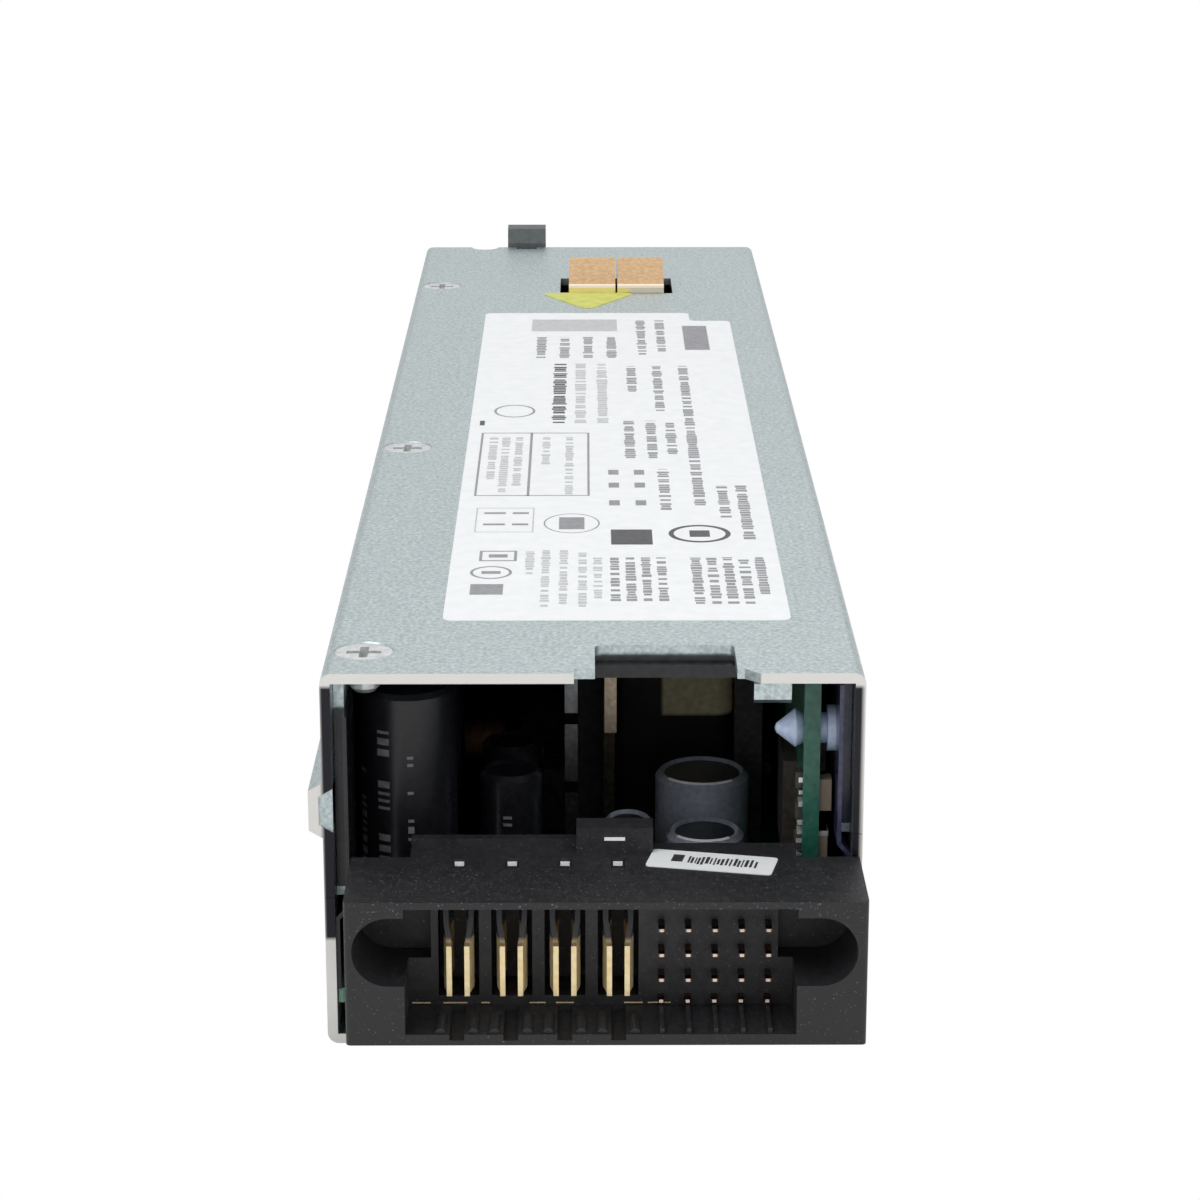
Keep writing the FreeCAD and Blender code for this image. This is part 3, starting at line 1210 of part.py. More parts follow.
def fan_bracket():
    """Steel partition that the fan is screwed to, open over the duct."""
    x0 = -TONGUE_IN
    x1 = FAN_X + FAN / 2
    plate = box(x0, x1, FAN_BACK, FAN_BACK + SHEET, SHEET, UNDER_COVER)
    foot = box(x0 + PLATE_FOOT_IN, x1, FAN_BACK + SHEET, FAN_BACK + PLATE_FOOT, SHEET, 2 * SHEET)
    tools = [rod((FAN_X, FAN_BACK - 1, FAN_Z), (0, 1, 0), FAN / 2 - FAN_WALL, SHEET + 2)]
    for x, z in fan_screw_places():
        tools.append(rod((x, FAN_BACK - 1, z), (0, 1, 0), FAN_HOLE, SHEET + 2))
    return fuse([cut(plate, tools), foot])


def fan_screw_places():
    return [(FAN_X + sx * FAN_HOLES, FAN_Z + sz * FAN_HOLES) for sx in (-1, 1) for sz in (-1, 1)]


def fan_screws():
    screws = []
    for x, z in fan_screw_places():
        shank = rod((x, FAN_BACK - FAN_SCREW_LONG, z), (0, 1, 0), FAN_HOLE, FAN_SCREW_LONG + SHEET)
        head = rod((x, FAN_BACK + SHEET, z), (0, 1, 0), FAN_SCREW_RADIUS, FAN_SCREW_HEAD)
        screws.append(fuse([shank, head]))
    return group(screws)


# ================================================================ inlet
def inlet_socket():
    """Snap-in mains inlet, upright, with two bevelled corners in its recess."""
    flange = box(INLET_X - INLET_FLANGE_WIDE / 2, INLET_X + INLET_FLANGE_WIDE / 2, REAR,
                 REAR + INLET_FLANGE_THICK, INLET_Z - INLET_FLANGE_HIGH / 2, INLET_Z + INLET_FLANGE_HIGH / 2)
    flange = soften(flange, (0, 1, 0), 1.5)
    body = box(INLET_X - INLET_BODY_WIDE / 2, INLET_X + INLET_BODY_WIDE / 2, REAR - INLET_BODY_DEEP, REAR,
               INLET_Z - INLET_BODY_HIGH / 2, INLET_Z + INLET_BODY_HIGH / 2)
    half_w, half_h, cut_in = SOCKET_WIDE / 2, SOCKET_HIGH / 2, SOCKET_CORNER
    outline = [
        (INLET_X - half_w, INLET_Z - half_h), (INLET_X + half_w - cut_in, INLET_Z - half_h),
        (INLET_X + half_w, INLET_Z - half_h + cut_in), (INLET_X + half_w, INLET_Z + half_h - cut_in),
        (INLET_X + half_w - cut_in, INLET_Z + half_h), (INLET_X - half_w, INLET_Z + half_h),
    ]
    mouth = REAR + INLET_FLANGE_THICK
    recess = prism(outline, "xz", mouth - SOCKET_DEEP, mouth + 1)
    tools = [recess]
    for x, z in inlet_pin_places():
        tools.append(box(x - INLET_PIN_WIDE / 2, x + INLET_PIN_WIDE / 2, REAR - INLET_BODY_DEEP - 1, mouth,
                         z - INLET_PIN_THICK / 2, z + INLET_PIN_THICK / 2))
    return cut(fuse([flange, body]), tools)


def inlet_pin_places():
    """Line, neutral and the earth pin between them, offset to the bevelled side."""
    outer = INLET_X - INLET_PIN_SHIFT
    return [(outer, INLET_Z - INLET_PIN_PITCH), (outer, INLET_Z + INLET_PIN_PITCH),
            (INLET_X + INLET_PIN_SHIFT, INLET_Z)]


def inlet_pins():
    """Flat pins whose tails bend down to the board behind the socket."""
    mouth = REAR + INLET_FLANGE_THICK
    half = INLET_PIN_WIDE / 2
    pins = []
    for k, (x, z) in enumerate(sorted(inlet_pin_places(), key=lambda place: place[1])):
        tail = REAR - INLET_BODY_DEEP - INLET_TAIL - INLET_TAIL_PITCH * k
        low = z - INLET_PIN_THICK / 2
        blade = box(x - half, x + half, tail, mouth - INLET_PIN_SUNK, low, low + INLET_PIN_THICK)
        blade = soften(blade, (0, 0, 1), 0.8, lambda p: p.y > REAR - INLET_PIN_SUNK)
        side = INLET_LEG_WIDE / 2
        leg = box(x - side, x + side, tail, tail + INLET_LEG_THICK, BOARD_TOP, low)
        pins.append(fuse([blade, leg]))
    return group(pins)


# ================================================================ latch
def bracket_rivet_places():
    ear = LATCH_WIDE / 2 + EAR_GAP + SHEET
    return [(LATCH_X + side * (ear + RIVET_SIDE), LATCH_Z + RIVET_UP) for side in (-1, 1)]


def latch_bracket():
    """Folded bracket: shelf for the spring, two ears for the pin, flanges to the panel."""
    ear_in = LATCH_WIDE / 2 + EAR_GAP
    ear_out = ear_in + SHEET
    shelf_z = LATCH_Z - SHELF_DROP
    top = UNDER_COVER - BRACKET_TOP
    y0 = PIVOT_Y - BRACKET_FRONT
    pieces = [box(LATCH_X - ear_out, LATCH_X + ear_out, y0, PANEL_IN, shelf_z - SHEET, shelf_z)]
    for side in (-1, 1):
        x0, x1 = sorted((LATCH_X + side * ear_in, LATCH_X + side * ear_out))
        pieces.append(box(x0, x1, y0, PANEL_IN, shelf_z - SHEET, top))
        f0, f1 = sorted((LATCH_X + side * ear_in, LATCH_X + side * (ear_out + BRACKET_FLANGE)))
        pieces.append(box(f0, f1, PANEL_IN - SHEET, PANEL_IN, LATCH_Z - 1.6, top))
    tools = [rod((LATCH_X - ear_out - 1, PIVOT_Y, LATCH_Z), (1, 0, 0), PIN_RADIUS, 2 * ear_out + 2)]
    tools += [rod((x, PANEL_IN - 3, z), (0, 1, 0), RIVET_RADIUS, 4) for x, z in bracket_rivet_places()]
    return cut(fuse(pieces), tools)


def bracket_rivets():
    high = RIVET_HEAD_HIGH
    dome = [(0, 0), (RIVET_HEAD, 0), (RIVET_HEAD - 0.3, high - 0.3), (RIVET_HEAD - 1.0, high), (0, high)]
    rivets = []
    for x, z in bracket_rivet_places():
        shank = rod((x, PANEL_IN - SHEET, z), (0, 1, 0), RIVET_RADIUS, 2 * SHEET)
        head = turned(dome, (x, REAR, z), (0, 1, 0))
        back = rod((x, PANEL_IN - SHEET, z), (0, -1, 0), RIVET_RADIUS + 0.4, 0.6)
        rivets.append(fuse([shank, head, back]))
    return group(rivets)


def latch_pin():
    reach = LATCH_WIDE / 2 + EAR_GAP + SHEET + PIN_END
    shaft = rod((LATCH_X - reach, PIVOT_Y, LATCH_Z), (1, 0, 0), PIN_RADIUS, 2 * reach)
    head = rod((LATCH_X - reach - PIN_HEAD_LONG / 2, PIVOT_Y, LATCH_Z), (1, 0, 0), PIN_HEAD, PIN_HEAD_LONG)
    return fuse([shaft, head])


def latch_lever():
    """Moulded lever: hub on the pin, arm out through the panel, tooth above the cover, thumb pad."""
    x0, x1 = LATCH_X - LATCH_WIDE / 2, LATCH_X + LATCH_WIDE / 2
    low = LATCH_Z - ARM_THICK / 2
    high = LATCH_Z + ARM_THICK / 2
    front = REAR + TOOTH_BACK
    back = front + TOOTH_LONG
    top = HEIGHT + TOOTH_RISE
    end = REAR + PAD_REACH
    arm = prism([(PIVOT_Y, low), (end - 1.0, low - PAD_DROOP), (end - 0.3, low + 0.2),
                 (end - 1.4, high - 1.2), (back + 1.0, high - 0.3), (back, top - 0.5),
                 (back - 0.5, top), (front + 0.8, top - 0.3), (front, HEIGHT + 0.5), (front, high),
                 (PIVOT_Y, high)], "yz", x0, x1)
    hub = rod((x0, PIVOT_Y, LATCH_Z), (1, 0, 0), LATCH_HUB, LATCH_WIDE)
    start = REAR + PAD_LONG
    pad = prism([(start, low - 0.6), (end - 1.0, low - PAD_DROOP), (end, low + 0.2), (end - 1.4, high - 1.2),
                 (start, high - 0.6)], "yz", LATCH_X - PAD_WIDE / 2, LATCH_X + PAD_WIDE / 2)
    grip = PAD_WIDE / 2 - 0.8
    grips = []
    for k in range(GRIP_COUNT):
        y = start + 0.7 + GRIP_PITCH * k
        grips.append(box(LATCH_X - grip, LATCH_X + grip, y, y + 0.7, high - 1.6, high - 0.1))
    lever = fuse([arm, hub, pad] + grips)
    bore = rod((x0 - 1, PIVOT_Y, LATCH_Z), (1, 0, 0), PIN_RADIUS + RUN, LATCH_WIDE + 2)
    return cut(lever, [bore])


def latch_spring():
    """Coil spring between the bracket's shelf and the arm."""
    y = PIVOT_Y + SPRING_ARM
    base = LATCH_Z - SHELF_DROP
    top = LATCH_Z - ARM_THICK / 2 - PAD_DROOP * SPRING_ARM / (LATCH_PIVOT + PAD_REACH - 1.0)
    height = top - base - SPRING_WIRE
    helix = Part.makeHelix(height / SPRING_TURNS, height, SPRING_RADIUS)
    section = [V(SPRING_RADIUS + SPRING_WIRE / 2 * math.cos(math.radians(60 * k)), 0,
                 SPRING_WIRE / 2 * math.sin(math.radians(60 * k))) for k in range(6)]
    coil = Part.Wire(helix).makePipeShell([Part.makePolygon(section + section[:1])], True, True)
    coil.translate(V(LATCH_X, y, base + SPRING_WIRE / 2))
    return coil


# ================================================================ bail
def bail_path():
    """Whole wire: stub in the left lug, down, along the crossbar, up to the stub in the right lug."""
    left = BAIL_LEFT - STUB_OUT
    right = BAIL_RIGHT + STUB_OUT
    side_left = BAIL_LEFT + LUG_THICK + 0.6 + BAIL_TURN
    side_right = BAIL_RIGHT - LUG_THICK - 0.6 - BAIL_TURN
    low = BAIL_Z - BAIL_DROP
    y = BAIL_Y
    turn = BAIL_TURN
    corner = BAIL_CORNER
    bend = turn * (1 - math.sqrt(0.5))
    swing = corner * (1 - math.sqrt(0.5))
    return [
        Part.LineSegment(V(left, y, BAIL_Z), V(side_left - turn, y, BAIL_Z)),
        Part.Arc(V(side_left - turn, y, BAIL_Z), V(side_left - bend, y, BAIL_Z - bend),
                 V(side_left, y, BAIL_Z - turn)),
        Part.LineSegment(V(side_left, y, BAIL_Z - turn), V(side_left, y, low + corner)),
        Part.Arc(V(side_left, y, low + corner), V(side_left + swing, y, low + swing),
                 V(side_left + corner, y, low)),
        Part.LineSegment(V(side_left + corner, y, low), V(side_right - corner, y, low)),
        Part.Arc(V(side_right - corner, y, low), V(side_right - swing, y, low + swing),
                 V(side_right, y, low + corner)),
        Part.LineSegment(V(side_right, y, low + corner), V(side_right, y, BAIL_Z - turn)),
        Part.Arc(V(side_right, y, BAIL_Z - turn), V(side_right + bend, y, BAIL_Z - bend),
                 V(side_right + turn, y, BAIL_Z)),
        Part.LineSegment(V(side_right + turn, y, BAIL_Z), V(right, y, BAIL_Z)),
    ]


def bail_handle():
    wire = Part.Wire([piece.toShape() for piece in bail_path()])
    start = BAIL_LEFT - STUB_OUT
    profile = Part.Wire(Part.makeCircle(BAIL_WIRE, V(start, BAIL_Y, BAIL_Z), V(1, 0, 0)))
    return wire.makePipeShell([profile], True, False)


# ================================================================ grounding spring
def finger_span():
    return FINGER_COUNT * FINGER_WIDE + (FINGER_COUNT - 1) * FINGER_GAP


def grounding_spring():
    """Copper-alloy strip clipped under the cover with sprung fingers through the slot."""
    y = FINGER_Y
    top = HEIGHT + FINGER_RISE
    crest = y + FINGER_RAMP
    line = [(y + 0.9, UNDER_COVER - STRIP), (y + 0.1, UNDER_COVER - STRIP + 0.1),
            (y, HEIGHT + FINGER_LIP - 0.3), (y + 0.4, HEIGHT + FINGER_LIP),
            (crest - 0.6, top - 0.15), (crest, top), (crest + 0.6, top - 0.3),
            (crest + 1.5, HEIGHT + 0.6), (crest + 1.7, UNDER_COVER - 1.0)]
    fingers = []
    for k in range(FINGER_COUNT):
        x = FINGER_X + k * (FINGER_WIDE + FINGER_GAP)
        fingers.append(prism(bent_strip(line, STRIP), "yz", x, x + FINGER_WIDE))
    base = box(FINGER_X - SLOT_SIDE - 1.5, FINGER_X + finger_span() + SLOT_SIDE + 1.5, y - 4.0, y + 1.0,
               UNDER_COVER - STRIP, UNDER_COVER)
    return fuse([base] + fingers)


# ================================================================ assembly
NODES = {
    "chassis_tray": chassis_tray,
    "top_cover": top_cover,
    "cover_screws": cover_screws,
    "rear_panel": rear_panel,
    "rear_panel_screws": rear_panel_screws,
    "status_led": status_led,
    "main_board": main_board,
    "board_screws": board_screws,
    "control_board": control_board,
    "board_rivet": board_rivet,
    "control_board_chips": control_board_chips,
    "insulator_left": insulator_left,
    "insulator_right": insulator_right,
    "connector_housing": connector_housing,
    "power_contacts": power_contacts,
    "signal_pins": signal_pins,
    "output_capacitors": output_capacitors,
    "timing_capacitors": timing_capacitors,
    "filter_capacitors": filter_capacitors,
    "secondary_heatsink": secondary_heatsink,
    "rectifiers": rectifiers,
    "bus_bar": bus_bar,
    "notch_baffle": notch_baffle,
    "spring_clip": spring_clip,
    "transformer_core": transformer_core,
    "transformer_winding": transformer_winding,
    "output_choke": output_choke,
    "primary_heatsink": primary_heatsink,
    "power_transistors": power_transistors,
    "pfc_choke": pfc_choke,
    "bulk_capacitor": bulk_capacitor,
    "relay": relay,
    "film_capacitor": film_capacitor,
    "fuse": fuse_link,
    "emi_choke": emi_choke,
    "emi_capacitor": emi_capacitor,
    "fan_frame": fan_frame,
    "fan_stator": fan_stator,
    "fan_rotor": fan_rotor,
    "fan_bracket": fan_bracket,
    "fan_screws": fan_screws,
    "inlet_socket": inlet_socket,
    "inlet_pins": inlet_pins,
    "latch_bracket": latch_bracket,
    "bracket_rivets": bracket_rivets,
    "latch_pin": latch_pin,
    "latch_lever": latch_lever,
    "latch_spring": latch_spring,
    "bail_handle": bail_handle,
    "grounding_spring": grounding_spring,
}


def place_and_save():
    os.makedirs("parts", exist_ok=True)
    shapes = {name: make() for name, make in NODES.items()}
    whole = FreeCAD.BoundBox()
    for shape in shapes.values():
        whole.add(shape.BoundBox)
    shift = V(-(whole.XMin + whole.XMax) / 2, -(whole.YMin + whole.YMax) / 2, -whole.ZMin)
    for name, shape in shapes.items():
        shape.translate(shift)
        shape.exportStep(f"parts/{name}.step")
        print(f"{name}: {len(shape.Solids)} solids, volume {shape.Volume:.1f}, valid {shape.isValid()}")
    print(f"size {whole.XLength:.2f} x {whole.YLength:.2f} x {whole.ZLength:.2f}, shift {shift}")


place_and_save()
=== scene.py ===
"""Look of the hot swap server power supply: materials, stickers, floor, light and camera."""

import json
import math
import random

import bpy
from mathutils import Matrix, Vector


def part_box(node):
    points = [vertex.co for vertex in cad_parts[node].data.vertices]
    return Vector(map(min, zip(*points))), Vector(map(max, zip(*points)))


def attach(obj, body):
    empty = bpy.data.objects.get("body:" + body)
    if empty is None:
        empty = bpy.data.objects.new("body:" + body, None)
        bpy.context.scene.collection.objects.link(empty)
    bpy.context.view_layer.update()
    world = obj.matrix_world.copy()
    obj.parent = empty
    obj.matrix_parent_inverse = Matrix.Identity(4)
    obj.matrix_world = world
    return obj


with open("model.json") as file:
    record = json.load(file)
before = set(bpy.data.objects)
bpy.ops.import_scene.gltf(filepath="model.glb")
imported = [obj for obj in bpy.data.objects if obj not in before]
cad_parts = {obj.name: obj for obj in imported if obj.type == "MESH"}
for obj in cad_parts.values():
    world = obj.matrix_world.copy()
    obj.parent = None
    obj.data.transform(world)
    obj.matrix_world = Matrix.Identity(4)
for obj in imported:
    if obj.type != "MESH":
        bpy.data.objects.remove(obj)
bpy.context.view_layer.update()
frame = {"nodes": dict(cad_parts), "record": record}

# ---------------------------------------------------------------- sizes, in millimetres unless they say MM
MM = 0.001
CAMERA_BACK = 298.4 * MM         # ahead of the cover's front edge
CAMERA_HIGH = 133.7 * MM         # above the floor
CAMERA_PITCH = 16.5              # degrees below level
CAMERA_YAW = 0.26                # degrees towards +X
LENS = 99.06                     # on a 36 mm sensor

cover_low, cover_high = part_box("top_cover")
tray_low, tray_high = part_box("chassis_tray")
COVER_FRONT = cover_low[1]
CON_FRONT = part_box("connector_housing")[0][1]
MIDDLE_X = (tray_low[0] + tray_high[0]) / 2
TOP_Z = cover_high[2] / MM

STICKER_THICK = 0.08
PRINT_THICK = 0.02
LABEL_LEFT = -15.0               # from the cover's middle, in millimetres
LABEL_RIGHT = 19.9
LABEL_FRONT = 17.3               # behind the cover's front edge
LABEL_REAR = 170.2
LABEL_STEP_X = 14.2              # the label's rear right corner is cut back
LABEL_STEP_Y = 164.6
TRIANGLE_X = -0.3
TRIANGLE_APEX = 174.4
TRIANGLE_BASE = 185.3
TRIANGLE_WIDE = 14.5
TAG_X = 11.4                     # small sticker on the connector
TAG_Y = -1.9
TAG_LONG = 12.2
TAG_WIDE = 4.6
TAG_TURN = -12.0
TAG_TOP = 19.6

CAN_X = -18.35                   # front tall can, its middle and radius
CAN_Y = 11.8
CAN_RADIUS = 4.9
SHORT_X = -8.2                   # front short can
SHORT_Y = 15.5
SHORT_RADIUS = 3.15
WALL_LEFT = 26.0                 # the walls' front edges get painted shade inside these,
WALL_RIGHT = 25.75
EDGE_TOP = 1.3                   # from this far below the cover's top
EDGE_FOOT = 11.0                 # down to this height
EDGE_DEEP = 0.1                  # how far back the painted light and shade on a cut edge reach
LIT_BOARD_X = 24.4                # the main board is painted a lighter, lit green outside this
LIT_WINDING_X = 8.3                     # the winding is lit right of and above these, in the row frame, and painted in shade elsewhere
LIT_WINDING_Z = 20.2
TINNED_SHADE_Z = 13.4                  # the contact leaves are tinned above this, and painted dark grey for the shade in the cavity
LIP_Y = 186.0                    # painted highlight on the grounding fingers' front lip ends here
FILTER_CANS = (                  # x, y, radius and top of each low can
    (11.5, 28.5, 4.9, 18.2),
    (11.5, 19.2, 4.0, 15.1),
    (3.6, 17.6, 2.5, 17.1),
)
RIM_IN = 0.62                    # middle of a can's rolled rim, in from its side
TOP_IN = 0.95                    # edge of the dark top
TOP_DOWN = 0.25
PIN_X = 6.5                      # first column and top row of the signal pins
PIN_Z = 14.8
PIN_PITCH = 2.54
PIN_TIP_Y = -7.3
PIN_SHORT = 0.9                  # the lowest row stands back by this
WINDOW_X = -12.85                # windows over the pairs of blades
WINDOW_PITCH = 5.08
TIP_HALF = 0.19                  # half the width of the painted glint on a pin's tip
RAISED_STRIP = (1.1, 3.1, 0.45, 0.6, 20.95, 21.25)       # x, y and z extents, from the cover's front edge
RAIL_END = (-26.5, -25.0, 0.25, 0.55, 21.8, 26.5)
STRIP_HALF = 0.45                # half the width of the strip in each window
STRIP_Y = (-0.95, -0.77)
STRIP_Z = (18.9, 19.3)
FLOOR_GLINT_Y = (-5.28, -5.2)        # painted reflection: faint line of glints along the cavity's floor
FLOOR_GLINT_Z = (6.5, 6.6)
FLOOR_GLINT_LEFT = -17.4
FLOOR_GLINT_RIGHT = 18.9
RISER_X = 20.4                   # left face of the upright board
RISER_Y = 4.2                    # column of small parts along its front edge
SOLDER_LOW = 7.5
SOLDER_HIGH = 27.0
CHIP_ENDS = (17.0, 20.1)         # heights of the bright ends of the tan part


# ---------------------------------------------------------------- materials
def new_material(name, color, metallic, roughness):
    material = bpy.data.materials.new(name)
    material.use_nodes = True
    shader = material.node_tree.nodes["Principled BSDF"]
    shader.inputs["Base Color"].default_value = (*color, 1)
    shader.inputs["Metallic"].default_value = metallic
    shader.inputs["Roughness"].default_value = roughness
    return material, shader


def noise(tree, scale, detail=6.0, stretch=(1, 1, 1)):
    """Noise in object space, drawn out along any axis whose stretch is below 1."""
    place = tree.nodes.new("ShaderNodeTexCoord")
    mapping = tree.nodes.new("ShaderNodeMapping")
    mapping.inputs["Scale"].default_value = stretch
    texture = tree.nodes.new("ShaderNodeTexNoise")
    texture.inputs["Scale"].default_value = scale
    texture.inputs["Detail"].default_value = detail
    tree.links.new(place.outputs["Object"], mapping.inputs["Vector"])
    tree.links.new(mapping.outputs["Vector"], texture.inputs["Vector"])
    return texture.outputs["Fac"]


def spread(tree, source, low, high):
    """Maps a 0 to 1 value onto low to high."""
    node = tree.nodes.new("ShaderNodeMapRange")
    node.inputs["From Min"].default_value = 0.3
    node.inputs["From Max"].default_value = 0.7
    node.inputs["To Min"].default_value = low
    node.inputs["To Max"].default_value = high
    tree.links.new(source, node.inputs["Value"])
    return node.outputs["Result"]


def tint(tree, source, dark, light):
    node = tree.nodes.new("ShaderNodeMix")
    node.data_type = "RGBA"
    node.inputs["A"].default_value = (*dark, 1)
    node.inputs["B"].default_value = (*light, 1)
    tree.links.new(source, node.inputs["Factor"])
    return node.outputs["Result"]


def bump(tree, shader, source, strength, distance):
    node = tree.nodes.new("ShaderNodeBump")
    node.inputs["Strength"].default_value = strength
    node.inputs["Distance"].default_value = distance
    tree.links.new(source, node.inputs["Height"])
    tree.links.new(node.outputs["Normal"], shader.inputs["Normal"])


def metal(name, dark, light, roughness, grain=1600, stretch=(1, 1, 1), depth=0.00002, metallic=1.0):
    """Metal with a fine grain in colour, roughness and height."""
    material, shader = new_material(name, light, metallic, sum(roughness) / 2)
    tree = material.node_tree
    fine = noise(tree, grain, stretch=stretch)
    broad = noise(tree, 45)
    tree.links.new(tint(tree, spread(tree, fine, 0, 1), dark, light), shader.inputs["Base Color"])
    tree.links.new(spread(tree, broad, *roughness), shader.inputs["Roughness"])
    bump(tree, shader, fine, 0.25, depth)
    return material


def band(tree, axis, start, soft=0.0002):
    """0 below a place along an object axis, 1 above it."""
    place = tree.nodes.new("ShaderNodeTexCoord")
    split = tree.nodes.new("ShaderNodeSeparateXYZ")
    node = tree.nodes.new("ShaderNodeMapRange")
    node.inputs["From Min"].default_value = start - soft
    node.inputs["From Max"].default_value = start + soft
    tree.links.new(place.outputs["Object"], split.inputs["Vector"])
    tree.links.new(split.outputs[axis], node.inputs["Value"])
    return node.outputs["Result"]


def overlay(material, mask, color):
    """Lays another colour over the material where the mask is 1."""
    tree = material.node_tree
    shader = tree.nodes["Principled BSDF"]
    under = shader.inputs["Base Color"].links[0].from_socket
    node = tree.nodes.new("ShaderNodeMix")
    node.data_type = "RGBA"
    node.inputs["B"].default_value = (*color, 1)
    tree.links.new(mask, node.inputs["Factor"])
    tree.links.new(under, node.inputs["A"])
    tree.links.new(node.outputs["Result"], shader.inputs["Base Color"])
    return material


def specks(material, color, scale, amount, where=None):
    """Sparse light grains, as in glass-filled plastic; where is a mask that keeps them to one place."""
    tree = material.node_tree
    node = tree.nodes.new("ShaderNodeMapRange")
    node.inputs["From Min"].default_value = amount
    node.inputs["From Max"].default_value = amount + 0.06
    tree.links.new(noise(tree, scale, detail=2.0), node.inputs["Value"])
    grains = both(tree, node.outputs["Result"], where) if where else node.outputs["Result"]
    return overlay(material, grains, color)


def both(tree, first, second):
    node = tree.nodes.new("ShaderNodeMath")
    node.operation = "MULTIPLY"
    tree.links.new(first, node.inputs[0])
    tree.links.new(second, node.inputs[1])
    return node.outputs["Value"]


def opposite(tree, source):
    node = tree.nodes.new("ShaderNodeMath")
    node.operation = "SUBTRACT"
    node.inputs[0].default_value = 1.0
    tree.links.new(source, node.inputs[1])
    return node.outputs["Value"]


def plastic(name, dark, light, roughness, grain=1400, depth=0.00003):
    """Moulded plastic or resin with a fine speckle."""
    material, shader = new_material(name, light, 0.0, sum(roughness) / 2)
    tree = material.node_tree
    fine = noise(tree, grain)
    broad = noise(tree, 60)
    tree.links.new(tint(tree, spread(tree, fine, 0, 1), dark, light), shader.inputs["Base Color"])
    tree.links.new(spread(tree, broad, *roughness), shader.inputs["Roughness"])
    bump(tree, shader, fine, 0.2, depth)
    return material


BLACK = (0.004, 0.004, 0.005)
SLOTS = {
    "galvanised_steel": metal("galvanised_steel", (0.37, 0.44, 0.45), (0.64, 0.71, 0.72), (0.36, 0.46),
                              grain=2400),
    "screw_steel": metal("screw_steel", (0.55, 0.57, 0.57), (0.8, 0.82, 0.82), (0.2, 0.32), metallic=0.55),
    "connector_black": plastic("connector_black", (0.009, 0.009, 0.01), (0.021, 0.021, 0.025), (0.42, 0.6)),
    "contact_gold": metal("contact_gold", (0.9, 0.68, 0.34), (1.0, 0.86, 0.54), (0.16, 0.28), metallic=0.3),
    "pin_metal": metal("pin_metal", (0.14, 0.075, 0.055), (0.24, 0.14, 0.11), (0.16, 0.28)),
    # painted shade: this green is the boards' darker tone in shade; the lit tone is painted on in
    # dress_boards
    "board_green": plastic("board_green", (0.012, 0.075, 0.05), (0.024, 0.135, 0.095), (0.25, 0.4)),
    "film_black": plastic("film_black", (0.006, 0.006, 0.008), (0.014, 0.014, 0.018), (0.2, 0.32)),
    "film_violet": plastic("film_violet", (0.018, 0.02, 0.05), (0.045, 0.05, 0.1), (0.18, 0.3)),
    "nylon_blue": plastic("nylon_blue", (0.42, 0.54, 0.76), (0.62, 0.72, 0.9), (0.3, 0.42)),
    "cap_sleeve": plastic("cap_sleeve", (0.005, 0.005, 0.007), (0.011, 0.011, 0.015), (0.26, 0.38)),
    "cap_can": metal("cap_can", (0.36, 0.39, 0.47), (0.5, 0.54, 0.63), (0.24, 0.36), metallic=0.3),
    "chip_black": plastic("chip_black", (0.02, 0.018, 0.015), (0.06, 0.05, 0.04), (0.45, 0.6)),
    "heatsink": metal("heatsink", (0.1, 0.1, 0.105), (0.18, 0.185, 0.19), (0.3, 0.42), stretch=(1, 0.1, 1)),
    "copper": metal("copper", (0.16, 0.13, 0.095), (0.27, 0.225, 0.17), (0.22, 0.36)),
    "package_black": plastic("package_black", BLACK, (0.035, 0.035, 0.037), (0.4, 0.55)),
    "black_moulding": plastic("black_moulding", BLACK, (0.016, 0.017, 0.019), (0.3, 0.45)),
    "ferrite": plastic("ferrite", (0.03, 0.03, 0.033), (0.07, 0.07, 0.075), (0.5, 0.7)),
    "tape_yellow": plastic("tape_yellow", (0.5, 0.45, 0.28), (0.66, 0.6, 0.4), (0.25, 0.4)),
    # painted shade: the choke's copper is coloured near black for the shadow it sits in
    "coil_copper": metal("coil_copper", (0.02, 0.01, 0.006), (0.042, 0.021, 0.013), (0.24, 0.38)),
    "relay_case": plastic("relay_case", (0.02, 0.02, 0.03), (0.05, 0.05, 0.065), (0.35, 0.5)),
    "film_box": plastic("film_box", (0.45, 0.4, 0.18), (0.62, 0.56, 0.3), (0.35, 0.5)),
    "fuse_body": plastic("fuse_body", (0.62, 0.62, 0.58), (0.8, 0.8, 0.76), (0.3, 0.45)),
    "fan_plastic": plastic("fan_plastic", BLACK, (0.032, 0.032, 0.035), (0.4, 0.55)),
    "inlet_black": plastic("inlet_black", BLACK, (0.032, 0.032, 0.035), (0.35, 0.5)),
    "led_lens": plastic("led_lens", (0.12, 0.5, 0.16), (0.25, 0.7, 0.3), (0.1, 0.2)),
    "latch_black": plastic("latch_black", (0.07, 0.085, 0.085), (0.1, 0.118, 0.116), (0.4, 0.55)),
    "bail_black": plastic("bail_black", (0.01, 0.01, 0.011), (0.025, 0.025, 0.028), (0.3, 0.45)),
    "finger_copper": metal("finger_copper", (0.42, 0.26, 0.135), (0.56, 0.38, 0.21), (0.22, 0.36)),
}
PAPER = plastic("label_paper", (0.80, 0.82, 0.83), (0.86, 0.88, 0.89), (0.35, 0.5), grain=500)
YELLOW = plastic("sticker_yellow", (0.52, 0.55, 0.07), (0.66, 0.67, 0.12), (0.35, 0.5), grain=500)
